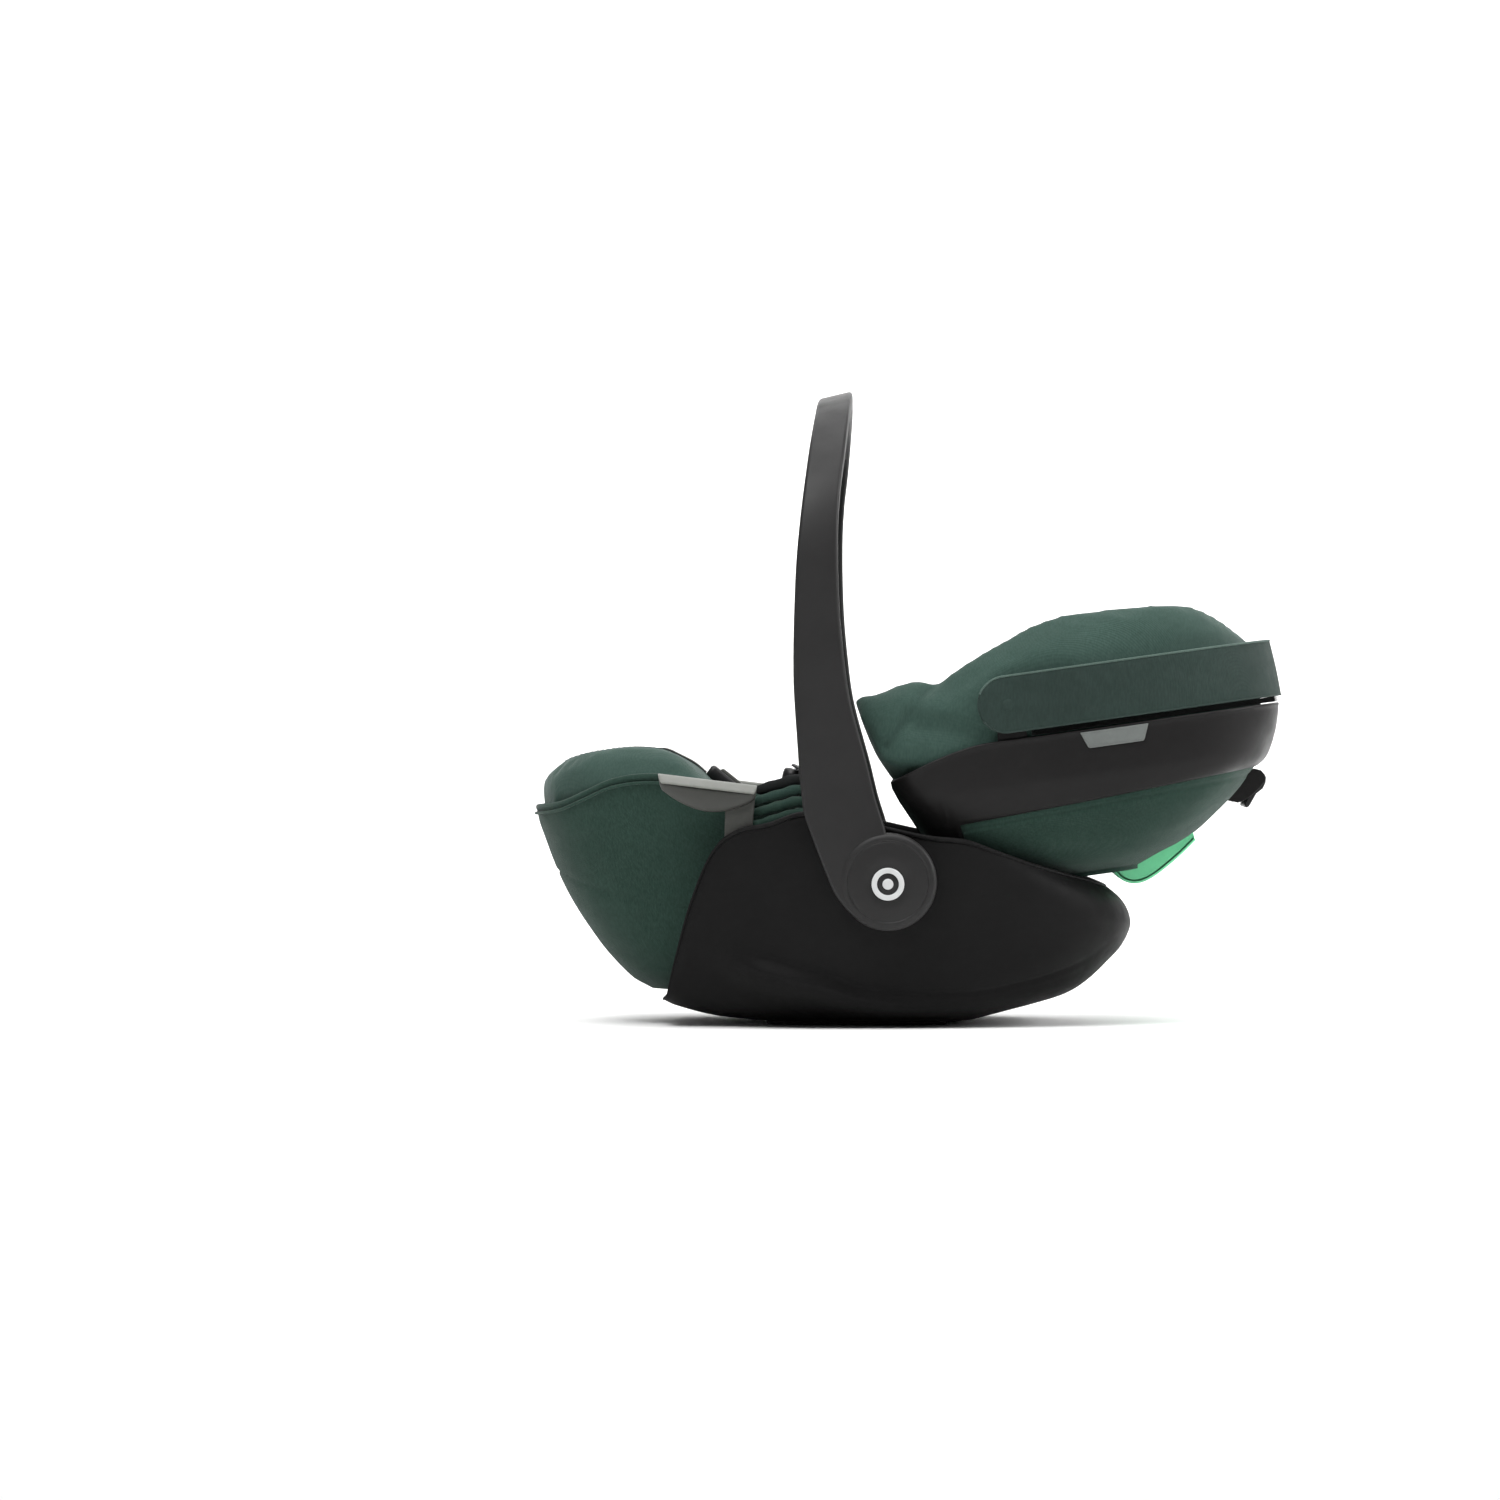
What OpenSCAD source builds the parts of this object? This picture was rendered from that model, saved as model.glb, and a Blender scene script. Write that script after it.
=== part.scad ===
// Infant car seat with a lie-flat recline, a carrying handle and a stowed sun canopy.
// X runs from the foot end to the head end, Z is up, and the child's left side is at -Y.
// The origin is on the floor, under the handle's pivot. Millimetres.

/* [Outer shell] */
// Height of the handle's pivot above the floor
pivot_z = 137; // [132:1:142]
// Half width of the outer shell at its rim
shell_half_w = 197; // [194:0.5:197]
// Wall of the outer shell
shell_wall = 4; // [3:0.5:4]
// Height of the rubber sole under the shell
sole_h = 4; // [3:0.5:4]

/* [Handle] */
// Height of the top of the handle
handle_top = 596; // [592:1:604]
// Gap between the two handle arms, halved
handle_inner = 203; // [203:0.5:204]
// Thickness of a handle arm at its hub
arm_t = 19; // [19:0.5:22]
// Radius of a handle hub
hub_r = 45; // [44:0.5:46]
// Radius of a handle pivot pin
pin_r = 8; // [7:0.5:8]

/* [Recline] */
// Tilt of the backrest in the lie-flat position, in degrees
back_tilt = 8; // [8:0.1:8.4]
// Radius of the recline shaft
shaft_r = 6; // [5:0.5:6]

/* [Backrest] */
// Half width of the backrest shell
back_half_w = 179; // [178:0.5:179]
// Height of the canopy band
band_h = 53; // [50:1:54]
// Thickness of the canopy band
band_t = 8; // [6:0.5:8]

/* [Harness] */
// Width of the harness webbing
web_w = 26; // [25:1:28]
// Thickness of the harness webbing
web_t = 2; // [1.5:0.1:2.2]

/* [Hidden] */
around = 44;         // points round a shell's ring
clear = 0.05;        // running clearance of a pin in its bore
skin_gap = 1;        // gap between a moulding and the fabric over it
skin_t = 3;          // thickness of a fabric skin with its lining
$fn = 64;

black = [0.09, 0.09, 0.095];
charcoal = [0.16, 0.16, 0.165];
green = [0.12, 0.21, 0.18];
dark_green = [0.09, 0.14, 0.125];
signal_green = [0.3, 0.8, 0.45];
steel = [0.7, 0.7, 0.72];
light_grey = [0.62, 0.63, 0.63];

// ---- curves and lofts ----

function mix(a, b, t) = a + (b - a) * t;
function clamp01(t) = min(1, max(0, t));
function ease(t) = let (c = clamp01(t)) c * c * (3 - 2 * c);
function signed_pow(c, p) = sign(c) * pow(abs(c), p);
function reversed(list) = [for (i = [len(list) - 1 : -1 : 0]) list[i]];

// Index of the last knot of a table that lies at or below x
function knot_below(table, x) = max([0, for (i = [0 : len(table) - 2]) if (table[i][0] <= x) i]);
// Slope of a table at knot i
function knot_slope(table, i) =
    let (a = table[max(0, i - 1)], b = table[min(len(table) - 1, i + 1)])
    (b[1] - a[1]) / (b[0] - a[0]);
// Smooth curve through the [x, value] knots of a table, held at its ends
function curve(table, x) =
    let (c = min(table[len(table) - 1][0], max(table[0][0], x)),
         i = knot_below(table, c),
         a = table[i], b = table[i + 1], d = b[0] - a[0], t = (c - a[0]) / d,
         s = knot_slope(table, i) * d, e = knot_slope(table, i + 1) * d)
    a[1] * (2 * t * t * t - 3 * t * t + 1) + s * (t * t * t - 2 * t * t + t)
    + b[1] * (3 * t * t - 2 * t * t * t) + e * (t * t * t - t * t);

// Point at angle a of an egg-shaped outline from x0 to x1, half width w at xm, with squareness n0
// in its foot half and n1 in its head half
function egg(a, x0, xm, x1, w, n0, n1) =
    let (n = cos(a) > 0 ? n1 : n0)
    [xm + (cos(a) > 0 ? x1 - xm : xm - x0) * signed_pow(cos(a), 2 / n), w * signed_pow(sin(a), 2 / n)];
// Half width of such an outline at x
function egg_half(x, x0, xm, x1, w, n0, n1) =
    let (n = x > xm ? n1 : n0, r = x > xm ? (x - xm) / (x1 - xm) : (xm - x) / (xm - x0))
    w * pow(max(0, 1 - pow(r, n)), 1 / n);

// Solid through closed rings of points; the first and last ring are capped
module loft(rings) {
    n = len(rings[0]);
    m = len(rings);
    function centre(r) = [for (k = [0 : 2]) let (v = [for (p = r) p[k]]) v * [for (p = r) 1 / n]];
    points = [for (r = rings) each r, centre(rings[0]), centre(rings[m - 1])];
    faces = [
        for (i = [0 : n - 1]) [m * n, i, (i + 1) % n],
        for (k = [0 : m - 2], i = [0 : n - 1]) [k * n + i, (k + 1) * n + i, (k + 1) * n + (i + 1) % n],
        for (k = [0 : m - 2], i = [0 : n - 1]) [k * n + i, (k + 1) * n + (i + 1) % n, k * n + (i + 1) % n],
        for (i = [0 : n - 1]) [m * n + 1, (m - 1) * n + (i + 1) % n, (m - 1) * n + i]
    ];
    polyhedron(points, faces, convexity = 12);
}

// Mirrors a left-hand part to the right
module right_hand() {
    mirror([0, 1, 0]) children();
}

// Extrudes an XZ outline from y0 to y1
module slab(y0, y1) {
    translate([0, max(y0, y1), 0]) rotate([90, 0, 0]) linear_extrude(abs(y1 - y0)) children();
}

// Cylinder along Y
module axle(r, y0, y1) {
    translate([0, min(y0, y1), 0]) rotate([-90, 0, 0]) cylinder(r = r, h = abs(y1 - y0));
}

// ---- outer shell ----

// Rim height over the length of the shell, in side view
shell_rim = [[-215, 24], [-208, 27], [-200, 56], [-182, 118], [-162, 165], [-140, 184], [-110, 191], [-80, 201], [-45, 198],
             [0, 187], [38, 179], [73, 175], [98, 166], [128, 155], [160, 145], [185, 138], [204, 131]];
// Foot end, head end and half width at each level, from the floor at 0 to the rim at 1
shell_foot = [[0, -130], [0.2, -162], [0.7, -200], [1, -213]];
shell_head = [[0, 75], [0.06, 100], [0.11, 124], [0.18, 153], [0.31, 186], [0.43, 206], [0.57, 222], [0.69, 229],
              [0.8, 227], [0.9, 219], [1, 204]];
shell_side = [[0, -92], [0.05, -60], [0.1, -44], [0.2, -28], [0.35, -16], [0.5, -9], [0.7, -3], [0.85, 0], [1, 0]];
shell_levels = [0, 0.05, 0.1, 0.18, 0.3, 0.43, 0.57, 0.7, 0.8, 0.9, 1];
shell_mid = -20;

function shell_ring(v, inset) = [
    for (i = [0 : around - 1])
        let (a = 360 * i / around, n0 = mix(3.4, 4.2, v), n1 = mix(2.9, 2.5, v),
             p = egg(a, curve(shell_foot, v) + inset, shell_mid, curve(shell_head, v) - inset,
                     shell_half_w + curve(shell_side, v) - inset, n0, n1),
             rim_x = egg(a, curve(shell_foot, 1), shell_mid, curve(shell_head, 1), shell_half_w, n0, n1)[0],
             floor_z = sole_h + inset)
        [p[0], p[1], mix(floor_z, curve(shell_rim, rim_x), v)]
];

module outer_shell() {
    color(black) difference() {
        loft(concat([for (v = shell_levels) shell_ring(v, 0)],
                    [for (v = reversed(shell_levels)) shell_ring(v, shell_wall)]));
        for (s = [-1, 1]) translate([0, 0, pivot_z]) axle(boss_r, s * 180, s * 210);
    }
}

// Rubber sole that the seat stands on
sole_l = 170;
sole_w = 150;
sole_x = -30;
module rocker_sole() {
    color(charcoal) difference() {
        translate([sole_x, 0, 0]) linear_extrude(sole_h)
            offset(r = 18) square([sole_l - 36, sole_w - 36], center = true);
        sole_screw_places() translate([0, 0, -1]) cylinder(r = 4, h = sole_h + 2);
    }
}

module sole_screw_places() {
    for (x = [-65, 65], y = [-55, 55]) translate([sole_x + x, y, 0]) children();
}

module sole_screws() {
    color(steel) sole_screw_places() translate([0, 0, 1]) difference() {
        cylinder(r = 4, h = 2.8);
        translate([0, 0, -1]) cylinder(r = 1.6, h = 2, $fn = 6);
    }
}

// Steel bars that the jaws of a vehicle base close on, with their end brackets
bar_r = 4;
module base_latch_bars() {
    color(steel) for (x = [-100, 40]) translate([x, 0, 22]) {
        axle(bar_r, -40, 40);
        for (s = [-1, 1]) translate([0, s * 37, -9]) cube([16, 6, 10], center = true);
    }
}

// ---- handle pivot, on both sides of the shell ----

boss_r = 38;
module handle_boss() {
    color(black) translate([0, 0, pivot_z]) difference() {
        axle(boss_r, -handle_inner + 1.8, -184);
        axle(pin_r, -handle_inner - 1, -183);
    }
}

module pivot_pin() {
    color(steel) translate([0, 0, pivot_z]) {
        axle(pin_r, -handle_inner - 16, -178);
        axle(13, -178, -174);
    }
}

gear_teeth = 18;
module lock_gear() {
    color(light_grey) translate([0, 0, pivot_z]) difference() {
        union() {
            axle(22, -handle_inner - 7, -handle_inner + 1.8);
            for (i = [0 : gear_teeth - 1]) rotate([0, i * 360 / gear_teeth, 0])
                translate([23, -handle_inner - 3.25, 0]) cube([5, 7.5, 3.6], center = true);
        }
        axle(pin_r, -handle_inner - 8, -handle_inner + 3);
    }
}

// ---- lap belt guide ----

guide_x0 = -212;
guide_x1 = -121;
// Top edge of the guide, and its underside, in side view
function guide_top(x) = 236 - 11 * (x - guide_x0) / (guide_x1 - guide_x0);
function guide_under(x) =
    let (t = (x - guide_x0) / (guide_x1 - guide_x0)) guide_top(x) - 5 - 23 * pow(max(0, sin(180 * t)), 0.8);
guide_xs = [for (t = [0 : 9]) mix(guide_x0, guide_x1, t / 9)];

module lap_belt_guide() {
    color(charcoal) {
        slab(-191, -182) polygon(concat([for (x = guide_xs) [x, guide_under(x)]],
                                        [for (x = reversed(guide_xs)) [x, guide_top(x) - 4]]));
        slab(-193, -177) polygon(concat([for (x = guide_xs) [x, guide_top(x) - 4]],
                                        [for (x = reversed(guide_xs)) [x, guide_top(x)]]));
        slab(-182, -177) polygon([[-148, 160], [-130, 160], [-122, 221], [-150, 224]]);
        slab(-188, -182) polygon([[-148, 160], [-130, 160], [-128, 176], [-149, 176]]);
    }
}

// ---- slide rail ----

rail_y = 62;
module slide_rail() {
    color(steel) translate([-57, -rail_y, sole_h + shell_wall]) difference() {
        translate([0, 0, 7]) cube([110, 20, 14], center = true);
        translate([0, 0, 6]) cube([112, 12, 7], center = true);
        translate([0, 0, 12]) cube([112, 5, 8], center = true);
    }
}

// ---- handle ----

// Left and right edge of an arm in side view, and the arm's path seen from the front
arm_foot_edge = [[96, -16], [104, -30], [116, -42], [128, -50], [142, -56], [181, -71], [204, -78], [274, -84], [330, -87], [418, -85], [468, -81],
                 [518, -75], [590, -66]];
arm_head_edge = [[96, 6], [150, 6], [187, -3], [213, -11], [246, -19], [306, -35], [349, -41], [398, -45],
                 [458, -46], [498, -44], [532, -40], [590, -34]];
arm_mid = handle_inner + arm_t / 2;
arch_z = 392;

// Centre of the arch in the YZ plane at t from 0, the left hub, to 1, the top
function arch(t) = t < 0.5
    ? [-mix(arm_mid, arm_mid - 5, t / 0.5), mix(97, arch_z, t / 0.5)]
    : let (a = (t - 0.5) * 180)
      [-(arm_mid - 5) * pow(cos(min(a, 89.99)), 2 / 2.5), arch_z + (handle_top - 9.5 - arch_z) * pow(sin(a), 2 / 2.5)];
function arch_dir(t) = let (a = arch(max(0, t - 0.01)), b = arch(min(1, t + 0.01)), d = b - a) d / norm(d);

// Ring of the handle's section; s mirrors it to the right side
function arm_ring(t, s) =
    let (c = arch(t), d = arch_dir(t), nrm = [-d[1], d[0]], z = c[1],
         x0 = curve(arm_foot_edge, z), x1 = curve(arm_head_edge, z), h = mix(arm_t, 19, t) / 2, b = 4,
         section = [[x0 + b, -h], [x0, -h + b], [x0, h - b], [x0 + b, h], [x1 - b, h], [x1, h - b], [x1, -h + b],
                    [x1 - b, -h]])
    [for (q = section) [q[0], s * (c[0] + nrm[0] * q[1]), z + nrm[1] * q[1]]];

arch_steps = 22;

button_x = -54;
button_z = 262;
button_r = 9;
button_floor = handle_inner + 11;   // bottom of the button's bore, out from the middle
module handle_frame() {
    rings = concat([for (i = [0 : arch_steps]) arm_ring(i / arch_steps, 1)],
                   [for (i = [arch_steps - 1 : -1 : 0]) arm_ring(i / arch_steps, -1)]);
    color(charcoal) difference() {
        union() {
            loft(rings);
            for (s = [-1, 1]) translate([0, 0, pivot_z]) axle(hub_r, s * handle_inner, s * (handle_inner + arm_t));
        }
        for (s = [-1, 1]) {
            translate([0, 0, pivot_z]) {
                axle(pin_r + clear, s * (handle_inner - 3), s * (handle_inner + 16.5));
                axle(30, s * (handle_inner - 3), s * (handle_inner + 8));
            }
            translate([button_x, 0, button_z]) axle(button_r + clear, s * (handle_inner - 9), s * button_floor);
        }
    }
}

// Soft grip under the handle's crossbar
grip_t = 5;
module handle_grip() {
    function grip_ring(i, s) =
        let (c = arch(i / arch_steps), d = arch_dir(i / arch_steps), nrm = [-d[1], d[0]], z = c[1],
             x0 = curve(arm_foot_edge, z) + 4.5, x1 = curve(arm_head_edge, z) - 4.5, h = 9.5 + 0.4)
        [for (q = [[x0, -h], [x0 + 3, -h - grip_t], [x1 - 3, -h - grip_t], [x1, -h]])
            [q[0], s * (c[0] + nrm[0] * q[1]), z + nrm[1] * q[1]]];
    color(black) loft(concat([for (i = [17 : arch_steps]) grip_ring(i, 1)],
                             [for (i = [arch_steps - 1 : -1 : 17]) grip_ring(i, -1)]));
}

module hub_cap() {
    color(charcoal) translate([0, 0, pivot_z]) {
        axle(37, -handle_inner - arm_t - 2, -handle_inner - arm_t - 0.01);
    }
}

// Plain ring and dot on each hub cap
module hub_emblems() {
    y = handle_inner + arm_t + 2.01;
    color(light_grey) for (s = [-1, 1]) translate([0, 0, pivot_z - 2]) {
        difference() {
            axle(15, s * y, s * (y + 0.8));
            axle(10, s * (y - 1), s * (y + 2));
        }
        axle(5, s * y, s * (y + 0.8));
    }
}

module release_button() {
    color(light_grey) translate([button_x, 0, button_z]) {
        axle(button_r, -button_floor + 4.5, -handle_inner + 5.5);
    }
}

// ---- seat carriage ----

// Rim height, foot end, head end and half width of the seat pan
pan_rim = [[-336, 203], [-306, 207], [-284, 216], [-257, 228], [-229, 233], [-200, 232], [-150, 222], [-120, 214],
           [-80, 198], [-50, 176], [-20, 142], [4, 128]];
pan_foot = [[0, -222], [0.06, -240], [0.25, -270], [0.55, -303], [0.9, -327], [1, -331]];
pan_head = [[0, -62], [0.1, -45], [0.3, -25], [0.6, -8], [1, 4]];
pan_side = [[0, 92], [0.1, 114], [0.25, 125], [0.5, 133], [0.75, 147], [1, 163]];
pan_levels = [0, 0.06, 0.15, 0.3, 0.5, 0.75, 1];
pan_mid = -60;
pan_n0 = 2.7;
pan_n1 = 4;
pan_z = 36;

function pan_ring(v, grow) = [
    for (i = [0 : around - 1])
        let (a = 360 * i / around,
             p = egg(a, curve(pan_foot, v) - grow, pan_mid, curve(pan_head, v) + grow,
                     curve(pan_side, v) + grow, pan_n0, pan_n1),
             q = egg(a, curve(pan_foot, 1), pan_mid, curve(pan_head, 1), curve(pan_side, 1), pan_n0, pan_n1),
             side = curve(pan_rim, q[0]),
             rim = q[0] < -30 ? side : mix(min(side, 104), side, ease((abs(q[1]) - 100) / 40)))
        [p[0], p[1], mix(pan_z - grow, rim, v)]
];

// Half width of the pan at x and height z
function pan_half(x, z) =
    let (v = clamp01((z - pan_z) / (curve(pan_rim, x) - pan_z)))
    egg_half(x, curve(pan_foot, v), pan_mid, curve(pan_head, v), curve(pan_side, v), pan_n0, pan_n1);

module pan_skin(outer, inner) {
    loft(concat([for (v = pan_levels) pan_ring(v, outer)], [for (v = reversed(pan_levels)) pan_ring(v, inner)]));
}

module seat_pan() {
    color(black) pan_skin(0, -3);
}

module seat_cover() {
    color(green) pan_skin(skin_gap + skin_t, skin_gap);
}

module slide_shoes() {
    color(charcoal) for (x = [-97, -68], s = [-1, 1]) translate([x, s * rail_y, sole_h + shell_wall]) {
        translate([0, 0, 6]) cube([22, 11.4, 6], center = true);
        translate([0, 0, 16.4]) cube([22, 4.4, 15], center = true);
    }
}

hinge_x = 20;
hinge_z = 150;
ear_y = 150.5;
module hinge_pins() {
    color(steel) translate([hinge_x, 0, hinge_z]) for (s = [-1, 1]) {
        axle(shaft_r, s * (ear_y - 11), s * (ear_y + 10));
        axle(shaft_r + 3, s * (ear_y - 14), s * (ear_y - 11));
    }
}

// Ears on the carriage that hold the hinge pins
module hinge_ears() {
    color(black) for (s = [-1, 1]) difference() {
        union() {
            slab(s * ear_y, s * (ear_y + 9)) polygon([[7, 152], [-20, 122], [-62, 108], [-60, 88], [-20, 92], [30, 140]]);
            translate([hinge_x, 0, hinge_z]) axle(14, s * ear_y, s * (ear_y + 9));
        }
        translate([hinge_x, 0, hinge_z]) axle(shaft_r, s * (ear_y - 1), s * (ear_y + 10));
    }
}

// Middle line of the seat pad's top, and its underside
seat_top = [[-336, 214], [-325, 232], [-300, 246], [-265, 254], [-228, 256], [-190, 247], [-150, 214], [-110, 176],
            [-70, 148], [-30, 134], [0, 130]];
seat_low = [[-322, 203], [-303, 166], [-270, 106], [-240, 68], [-200, 52], [-60, 52], [-20, 92], [0, 104]];

// Height of the seat pad's top at x, a part f of the way from its middle to its side
function seat_height(x, f) =
    let (mid = curve(seat_top, x), edge = curve(pan_rim, x) + 4, t = abs(f))
    mix(mid, edge, ease((t - 0.5) / 0.38)) - 7 * sin(180 * clamp01((t - 0.62) / 0.34)) * ease((mid - edge + 8) / 12)
    - 5 * ease((t - 0.9) / 0.1);

// Slice of the padding in the pan, from x0 to x1
module pan_padding(x0, x1, steps) {
    gap = 4.5;
    low_f = [0, 0.33, 0.66, 1];
    top_f = [0.98, 0.9, 0.78, 0.62, 0.45, 0.25, 0, -0.25, -0.45, -0.62, -0.78, -0.9, -0.98];
    loft([for (k = [0 : steps])
        let (x = mix(x0, x1, k / steps), low = curve(seat_low, x), rim = curve(pan_rim, x) - 2,
             w = pan_half(x, rim) - gap)
        concat([for (f = reversed(low_f)) let (z = mix(low, rim, f)) [x, -pan_half(x, z - 7) + gap, z]],
               [for (f = low_f) let (z = mix(low, rim, f)) [x, pan_half(x, z - 7) - gap, z]],
               [for (f = top_f) [x, w * f, max(rim * (abs(f) > 0.9 ? 1 : 0), seat_height(x, f))]])]);
}

module calf_pad() {
    color(green) pan_padding(-310, -165, 13);
}

module seat_pad() {
    color(dark_green) pan_padding(-165, -8, 12);
}

// ---- harness ----

// Flat strap through [x, y, z] points, w wide across the seat and t thick
module ribbon(path, w, t) {
    m = len(path);
    loft([for (i = [0 : m - 1])
        let (a = path[max(0, i - 1)], b = path[min(m - 1, i + 1)], d = b - a, l = norm([d[0], d[2]]),
             up = [-d[2] / l, 0, d[0] / l], p = path[i])
        [p + [0, -w / 2, 0], p + [0, -w / 2, 0] + up * t, p + [0, w / 2, 0] + up * t, p + [0, w / 2, 0]]]);
}

module crotch_strap() {
    color(black) ribbon([[-90, 0, 156], [-92, 0, 168], [-94, 0, 180], [-97, 0, 192], [-99, 0, 203]], 34, 3);
}

// The buckle stands on its crotch strap, tilted back
buckle_tilt = 14;
module at_buckle() {
    translate([-99, 0, 201]) rotate([0, buckle_tilt, 0]) children();
}

module buckle_body() {
    color(black) at_buckle() difference() {
        union() {
            translate([0, 0, 20]) cube([20, 38, 40], center = true);
            for (s = [-1, 1]) translate([0, s * 19, 0]) cylinder(r = 10, h = 40);
        }
        translate([-6, 0, 15]) cube([16, 17, 17], center = true);
        translate([1, 0, 38]) cube([3.4, 46, 12], center = true);
    }
}

module buckle_button() {
    color([0.7, 0.08, 0.06]) at_buckle() translate([-7.3, 0, 15]) cube([9.2, 16, 16], center = true);
}

module buckle_tongues() {
    color(steel) at_buckle() for (s = [-1, 1]) translate([1, s * 11, 41]) cube([3.4, 20, 18], center = true);
}

// Strap from the buckle over the hip
module hip_strap() {
    color(black) ribbon([[-88, -25, 252], [-76, -29, 243], [-64, -37, 220], [-52, -49, 193], [-38, -64, 169],
                         [-24, -78, 152], [-10, -90, 142]], web_w, web_t);
}

// The adjuster sits on the slope below the calf rest
module at_adjuster() {
    translate([-156, 0, 223]) rotate([0, 38.7, 0]) children();
}

module adjuster_housing() {
    color(black) at_adjuster() difference() {
        translate([0, 0, 4]) cube([44, 40, 12], center = true);
        translate([0, 0, 7]) cube([26.2, 24.2, 10], center = true);
    }
}

module adjuster_button() {
    color(light_grey) at_adjuster() translate([0, 0, 9.4]) cube([26, 24, 7], center = true);
}

// Tail of the strap, over the calf rest
module adjuster_strap() {
    color(black) ribbon([for (x = [-176 : -10 : -266]) [x, 0, curve(seat_top, x) + 1 + 2 * ease((x + 200) / 24)]],
                        web_w, -web_t);
}

// ---- backrest, in its own frame: u along the back, w out of it ----

module in_back() {
    translate([0, 0, 180]) rotate([0, -back_tilt, 0]) children();
}

// Levels run from the belly at 0 to the panel's top edge at 1
back_w0 = -62;
back_rim = [[39, 48], [60, 54], [80, 62], [100, 69], [112, 71], [150, 71], [400, 71]];
back_head = [[0, 228], [0.064, 249], [0.113, 268], [0.173, 284], [0.3, 308], [0.42, 328], [0.545, 344], [0.62, 358],
             [0.72, 367], [0.85, 374], [1, 378]];
back_side = [[0, -84], [0.08, -58], [0.2, -36], [0.35, -19], [0.5, -9], [0.6, -3], [0.7, 0], [1, 0]];
back_levels = [0, 0.08, 0.2, 0.35, 0.5, 0.65, 0.8, 1];
back_mid = 190;
back_front = 33;
back_n0 = 9;
back_n1 = 3.2;
// The front edge leans towards the foot end as it rises
lean = [[-66, 26], [-6, 0], [49, -28], [120, -52], [170, -66]];
function leaned(u, w) = u + curve(lean, w) * (1 - ease((u - 50) / 90));

// Height of the rim over the outline's point q: low across the front, where the child's legs pass
function back_rim_at(q) =
    mix(-44, curve(back_rim, q[0]), max(ease((abs(q[1]) - 118) / 42), ease((q[0] - 60) / 40)));

// Ring a part s of the way up from the belly to the top w
function back_ring(s, grow, slope = 0) = [
    for (i = [0 : around - 1])
        let (a = 360 * i / around,
             q = egg(a, back_front, back_mid, curve(back_head, 1), back_half_w, back_n0, back_n1),
             rim = back_rim_at(q),
             top = slope > 0 ? min(rim, mix(1, 15, (q[0] - 70) / 280)) : rim,
             v = s * (top - back_w0) / (71 - back_w0),
             p = egg(a, back_front - grow, back_mid, curve(back_head, v) + grow,
                     back_half_w + curve(back_side, v) + grow, back_n0, back_n1),
             w = mix(back_w0 - grow, top, s))
        [leaned(p[0], w), p[1], w]
];

module back_skin(outer, inner, slope) {
    loft(concat([for (v = back_levels) back_ring(v, outer, slope)],
                [for (v = reversed(back_levels)) back_ring(v, inner, slope)]));
}

module back_shell() {
    color(black) in_back() back_skin(0, -4, 0);
}

// Fabric over the belly, up to the lower edge of the black side panel
module belly_cover() {
    color(green) in_back() back_skin(skin_gap + skin_t, skin_gap, 1);
}

module hinge_lugs() {
    color(charcoal) for (s = [-1, 1]) difference() {
        union() {
            slab(s * (ear_y - 10.5), s * (ear_y - 0.5))
                polygon([[11, 140], [36, 131], [90, 140], [104, 160], [80, 172], [50, 168], [13, 161]]);
            translate([hinge_x, 0, hinge_z]) axle(13, s * (ear_y - 10.5), s * (ear_y - 0.5));
        }
        translate([hinge_x, 0, hinge_z]) axle(shaft_r + clear, s * (ear_y - 11), s * ear_y);
    }
}

// Point on the U at station t: 0 at the front end of the left side, 0.5 at the head, 1 at the right front
function horseshoe(t, front, mid, head, half, n) =
    let (k = t < 0.5 ? t : 1 - t, side = t < 0.5 ? -1 : 1, split = 0.22)
    k < split
        ? [mix(front, mid, k / split), side * half]
        : let (a = 90 * (k - split) / (0.5 - split))
          [mid + (head - mid) * pow(sin(a), 2 / n), side * half * pow(max(0, cos(a)), 2 / n)];

// Crest of the padded wings above the back's own plane
wing_crest = [[0, 126], [16, 131], [34, 135], [50, 136.5], [63, 131], [98, 147], [130, 160], [159, 169], [187, 175],
              [212, 179], [232, 179], [279, 172], [300, 167], [321, 157], [338, 145], [355, 128], [372, 112]];
wing_steps = 34;

module wing_bolster() {
    rings = [for (i = [0 : wing_steps])
        let (t = i / wing_steps,
             o = horseshoe(t, 40, 150, 366, 171, 2.7), m = horseshoe(t, 40, 150, 356, 150, 2.6),
             n = horseshoe(t, 40, 150, 334, 114, 2.4),
             top = curve(wing_crest, leaned(o[0], 120)), low = mix(60, 46, ease((o[0] - 56) / 24)),
             deep = mix(24, -12, ease((o[0] - 40) / 60)) + 42 * ease((o[0] - 280) / 70))
        [for (q = [[0, 0, low], [0, 0, mix(low, top, 0.35)], [0, 0.25, mix(low, top, 0.72)], [0, 0.7, mix(low, top, 0.95)],
                   [1, 0, top], [2, 0.5, mix(deep, top, 0.94)], [2, 0.12, mix(deep, top, 0.72)],
                   [2, 0, mix(deep, top, 0.4)], [2, 0, deep], [2, 0.3, deep]])
            let (base = q[0] == 0 ? mix(o, m, q[1]) : q[0] == 1 ? m : mix(n, m, q[1]))
            [leaned(base[0], q[2]), base[1], q[2]]]];
    color(green) in_back() loft(rings);
}

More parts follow.
